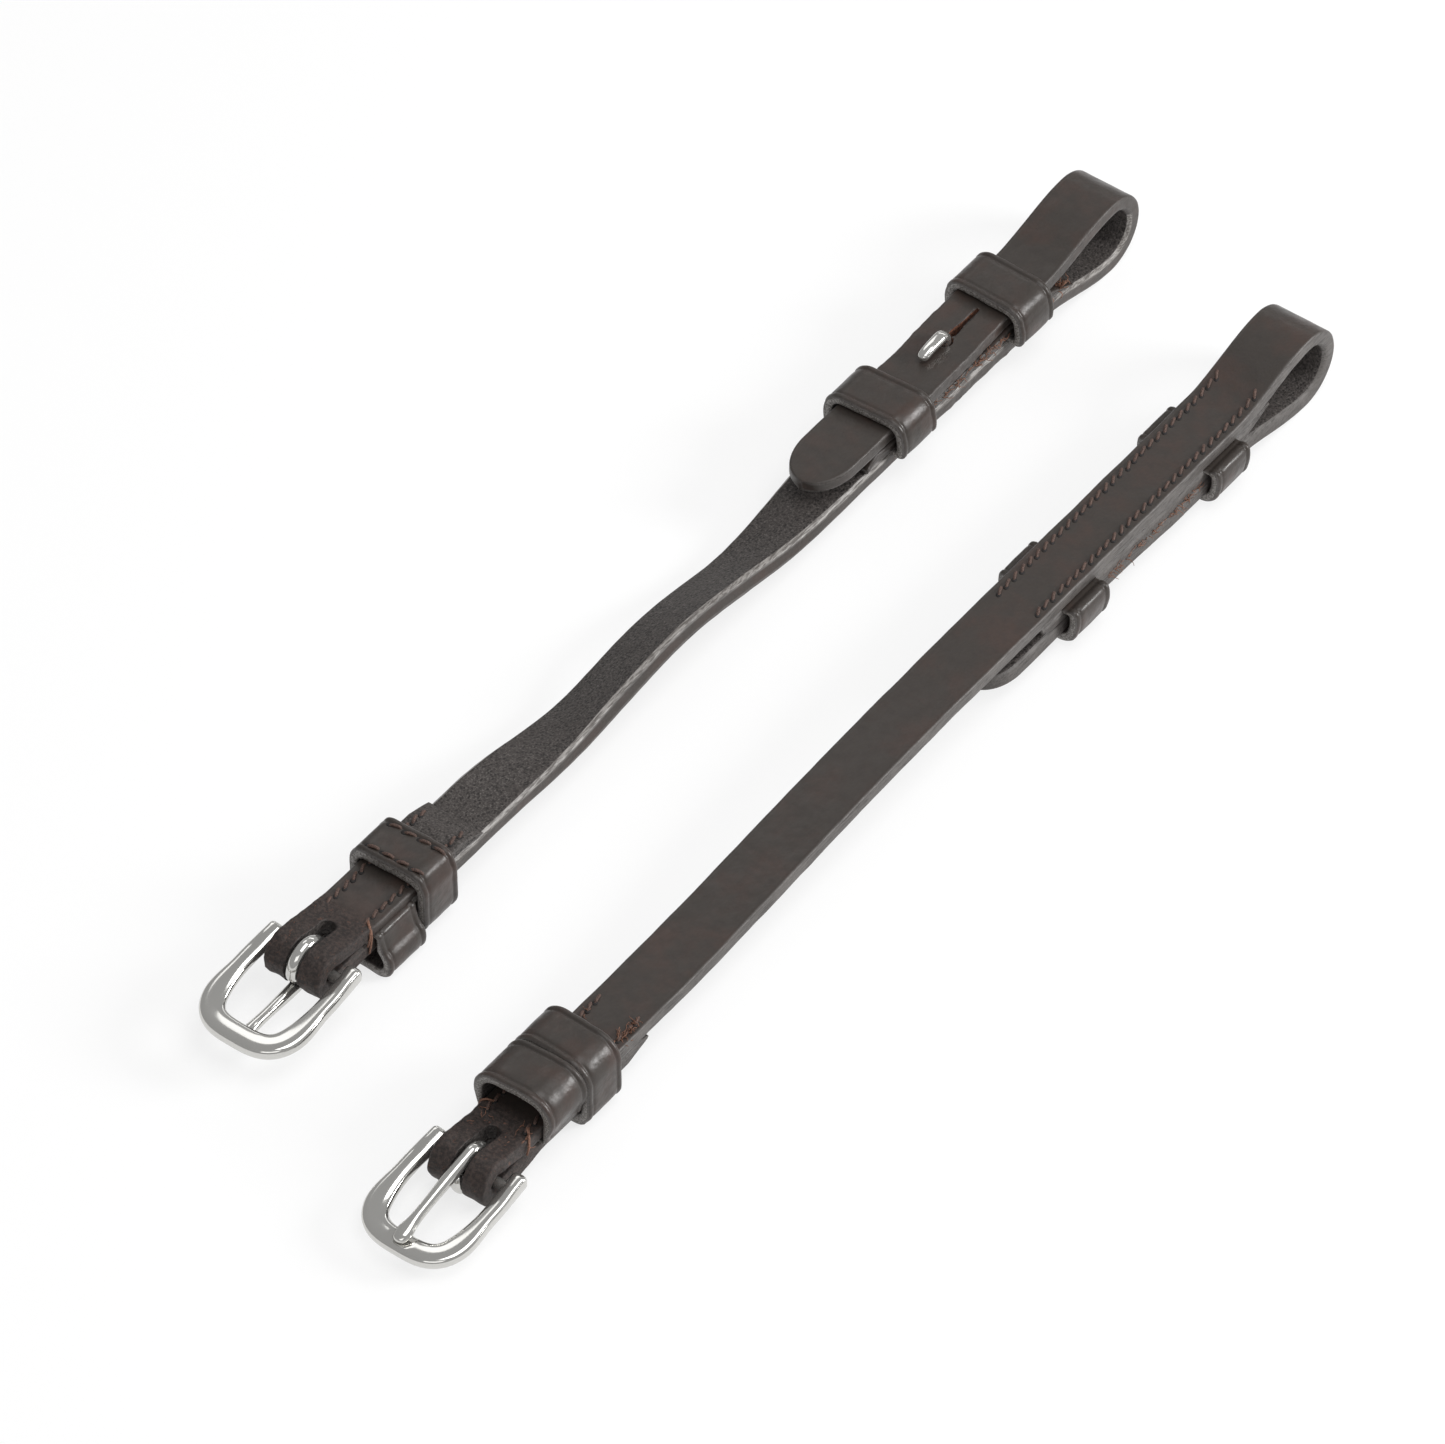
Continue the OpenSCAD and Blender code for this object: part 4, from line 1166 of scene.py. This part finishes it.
def strand(rng, start, way, reach, count, radius):
    """One loose fibre: a short wandering line from start."""
    at, heading = Vector(start), Vector(way).normalized()
    spine = [(at, radius)]
    for i in range(count):
        heading = (heading + Vector([rng.uniform(-0.7, 0.7) for _ in range(3)])).normalized()
        at = at + heading * reach / count
        spine.append((at, radius * (1 - 0.5 * (i + 1) / count)))
    return tube(spine, 5)


# Thread ends that hang over an edge: their points, and their radius at each
LEFT_STRAYS = (
    (((4.3, 12.6, 6.1), 0.30), ((5.3, 11.6, 6.55), 0.28), ((6.3, 10.9, 6.2), 0.28),
     ((6.75, 10.6, 4.9), 0.27), ((6.7, 10.3, 3.0), 0.25), ((6.6, 10.0, 1.0), 0.2)),
)
RIGHT_STRAYS = (
    (((-4.3, 11.3, -0.1), 0.24), ((-5.2, 10.2, -0.5), 0.24), ((-6.3, 9.0, -0.2), 0.24),
     ((-6.8, 8.3, 1.0), 0.24), ((-6.8, 7.7, 2.6), 0.24)),
    (((4.3, 12.4, -0.1), 0.24), ((5.5, 11.8, -0.45), 0.24), ((6.5, 11.3, 0.1), 0.24), ((6.8, 11.0, 1.5), 0.24)),
)


class TACK_OT_loose_threads(bpy.types.Operator):
    """Scatter the thread ends and raw fibres that show at the seams"""

    bl_idname = "tack.loose_threads"
    bl_label = "Loose threads"

    def execute(self, context):
        edge = STRAP_W / 2
        for side, name in enumerate(SIDES):
            rng = random.Random(17 + side)
            some = rng.uniform
            points, faces = [], []

            def lay(ring, ring_faces):
                first = len(points)
                points.extend(ring)
                faces.extend(tuple(i + first for i in f) for f in ring_faces)

            def lay_strand(*values):
                lay(*strand(rng, *values))

            if side == LEFT:
                tuft_z = hook_flesh(side, loop_from(side) + 5) + 0.9
                for _ in range(22):
                    at = (edge - 1.0 + some(-0.7, 0.7), loop_from(side) + 5.5 + some(-2.5, 2.2), tuft_z)
                    lay_strand(at, (some(-1, 1), some(-1, 1), 0.6), 3.0, 6, 0.15)
                for stray in LEFT_STRAYS:
                    lay(*tube(stray, 8))
                    lay(*tube([((x - 0.1, y - 1.3 + 0.2 * z, z + 0.1), 0.2) for (x, y, z), _ in stray[:5]], 8))
            else:
                for stray in RIGHT_STRAYS:
                    lay(*tube(stray, 8))
                for _ in range(34):
                    y = some(35.5, 43.0)
                    at = (-(edge - 2.0) + some(-0.6, 0.6), y, -0.05)
                    lay_strand(at, (some(-1, 1), some(-1, 1), -0.15), 2.2, 6, 0.13)
                for _ in range(8):
                    at = (edge - 2.0 + some(-0.4, 0.4), some(35.0, 41.0), -0.05)
                    lay_strand(at, (some(-1, 1), some(-1, 1), -0.1), 1.6, 5, 0.1)
                for _ in range(5):
                    at = (-edge + 0.6, 8.0 + some(-1.0, 2.5), some(-0.1, 1.6))
                    lay_strand(at, (-0.15, 0.6, some(-0.5, 0.7)), 3.2, 7, 0.16)
                for _ in range(10):
                    at = (rng.choice((-1, 1)) * some(2.6, 4.6), some(5.5, 11.5), -0.3)
                    lay_strand(at, (some(-1, 1), some(-1, 1), -0.1), 1.8, 6, 0.09)
            s = -1 if side == RIGHT else 1
            for _ in range(70):
                y = some(LOWER_KEEPER[side] + KEEPER_W + 3, UPPER_KEEPER[side] - 2)
                at = (s * (edge + 0.12), y, HOOK_DZ[side] + LINING_TOP - 0.2 + some(-0.7, 0.4))
                lay_strand(at, (s * 0.12, 1, some(-0.3, 0.3)), some(0.8, 2.6), 5, 0.10)
            tuft = make_piece(f"{name}_loose_fibres", to_world(side, points), faces, "loose_fibre")
            settle(tuft, side, "cheekpiece", "thread")
        return DONE


# Lamps: name, place, width, height, power
LAMPS = (
    ("key", (0.30, 0.05, 1.10), 0.8, 0.6, 4.9),
    ("right", (0.80, 0.60, 0.46), 0.40, 0.32, 9.0),
    ("left", (-0.75, 0.55, 0.95), 0.42, 0.42, 0.75),
    ("strip", (-0.30, 1.00, 0.62), 0.9, 0.10, 0.7),
    ("front", (0.45, -0.95, 0.80), 0.8, 0.5, 1.6),
)
LAMP_AIM = (0.0, 0.0, 0.005)
WORLD_STRENGTH, FLOOR_HALF, PAPER, PAPER_GLOW = 0.40, 40.0, (0.97, 0.97, 0.97), 0.74
# Camera: degrees round from the front and up, the point it looks at, distance from it, sensor and lens in mm
CAMERA_ROUND, CAMERA_UP = 37.1, 46.8
CAMERA_AIM, CAMERA_AWAY = (-0.0073, -0.0059, 0.0), 1.711
SENSOR, LENS = 36.0, 227.1


class TACK_OT_stage(bpy.types.Operator):
    """Set the floor, the soft lights and the camera"""

    bl_idname = "tack.stage"
    bl_label = "Stage"

    def execute(self, context):
        h = FLOOR_HALF
        mesh = bpy.data.meshes.new("floor")
        mesh.from_pydata([(-h, -h, 0), (h, -h, 0), (h, h, 0), (-h, h, 0)], [], [(0, 1, 2, 3)])
        mesh.materials.append(floor_material())
        link("floor", mesh)
        world_light(context.scene)
        for name, place, width, height, power in LAMPS:
            lamp = bpy.data.lights.new(name, "AREA")
            lamp.shape, lamp.size, lamp.size_y, lamp.energy = "RECTANGLE", width, height, power
            aim_at(link(name, lamp), place, Vector(LAMP_AIM) - Vector(place))
        camera = link("camera", bpy.data.cameras.new("camera"))
        azimuth, height = math.radians(CAMERA_ROUND), math.radians(CAMERA_UP)
        level = math.cos(height)
        back = Vector((math.sin(azimuth) * level, -math.cos(azimuth) * level, math.sin(height)))
        aim_at(camera, Vector(CAMERA_AIM) + back * CAMERA_AWAY, -back)
        camera.data.sensor_width, camera.data.lens = SENSOR, LENS
        camera.data.clip_start, camera.data.clip_end = 0.01, 100.0
        context.scene.camera = camera
        context.scene.view_settings.view_transform = "Standard"
        return DONE


def aim_at(thing, place, way):
    thing.location = place
    thing.rotation_mode = "QUATERNION"
    thing.rotation_quaternion = way.to_track_quat("-Z", "Y")


def floor_material():
    """White paper that keeps only a light shadow."""
    material = bpy.data.materials.new("white_paper")
    material.use_nodes = True
    t = Tree(material.node_tree)
    t.tree.nodes.clear()
    ray = t.add("ShaderNodeLightPath").outputs
    seen = t.math("MAXIMUM", t.math("MAXIMUM", ray["Is Camera Ray"], ray["Is Glossy Ray"]), ray["Is Transmission Ray"])
    paper = t.add("ShaderNodeBsdfDiffuse", {"Color": PAPER})
    glow = t.add("ShaderNodeEmission", {"Strength": 1.0})
    mixed = t.add("ShaderNodeMixShader", {0: t.math("MULTIPLY", seen, PAPER_GLOW), 1: paper, 2: glow})
    t.add("ShaderNodeOutputMaterial", {"Surface": mixed})
    return material


def world_light(scene):
    """Plain studio light: grey and even all round."""
    scene.world = bpy.data.worlds.new("studio")
    scene.world.use_nodes = True
    t = Tree(scene.world.node_tree)
    even = t.tree.nodes["Background"]
    t.put(even.inputs["Color"], (1, 1, 1))
    t.put(even.inputs["Strength"], WORLD_STRENGTH)


PIECES = (
    TACK_OT_straps, TACK_OT_linings, TACK_OT_hook_keepers, TACK_OT_fixed_keepers, TACK_OT_runners,
    TACK_OT_buckle_frames, TACK_OT_buckle_bars, TACK_OT_tongues, TACK_OT_hook_studs, TACK_OT_stitching,
    TACK_OT_loose_threads, TACK_OT_stage,
)


class TACK_PT_cheekpieces(bpy.types.Panel):
    """Lists the cheekpieces' parts"""

    bl_idname = "TACK_PT_cheekpieces"
    bl_label = "Bridle Cheekpieces"
    bl_space_type = "VIEW_3D"
    bl_region_type = "UI"
    bl_category = "Tack"

    def draw(self, context):
        for group in (context.scene.tack_sizes, context.scene.tack_colours):
            for key in group.__annotations__:
                self.layout.prop(group, key)
        for piece in PIECES:
            self.layout.operator(piece.bl_idname)


CLASSES = (TackSizes, TackColours, *PIECES, TACK_PT_cheekpieces)


def register():
    for each in CLASSES:
        bpy.utils.register_class(each)
    bpy.types.Scene.tack_sizes = bpy.props.PointerProperty(type=TackSizes)
    bpy.types.Scene.tack_colours = bpy.props.PointerProperty(type=TackColours)


def unregister():
    del bpy.types.Scene.tack_colours
    del bpy.types.Scene.tack_sizes
    for each in reversed(CLASSES):
        bpy.utils.unregister_class(each)


def main():
    register()
    for piece in PIECES:
        group, _, name = piece.bl_idname.partition(".")
        getattr(getattr(bpy.ops, group), name)()


if __name__ == "__main__":
    main()
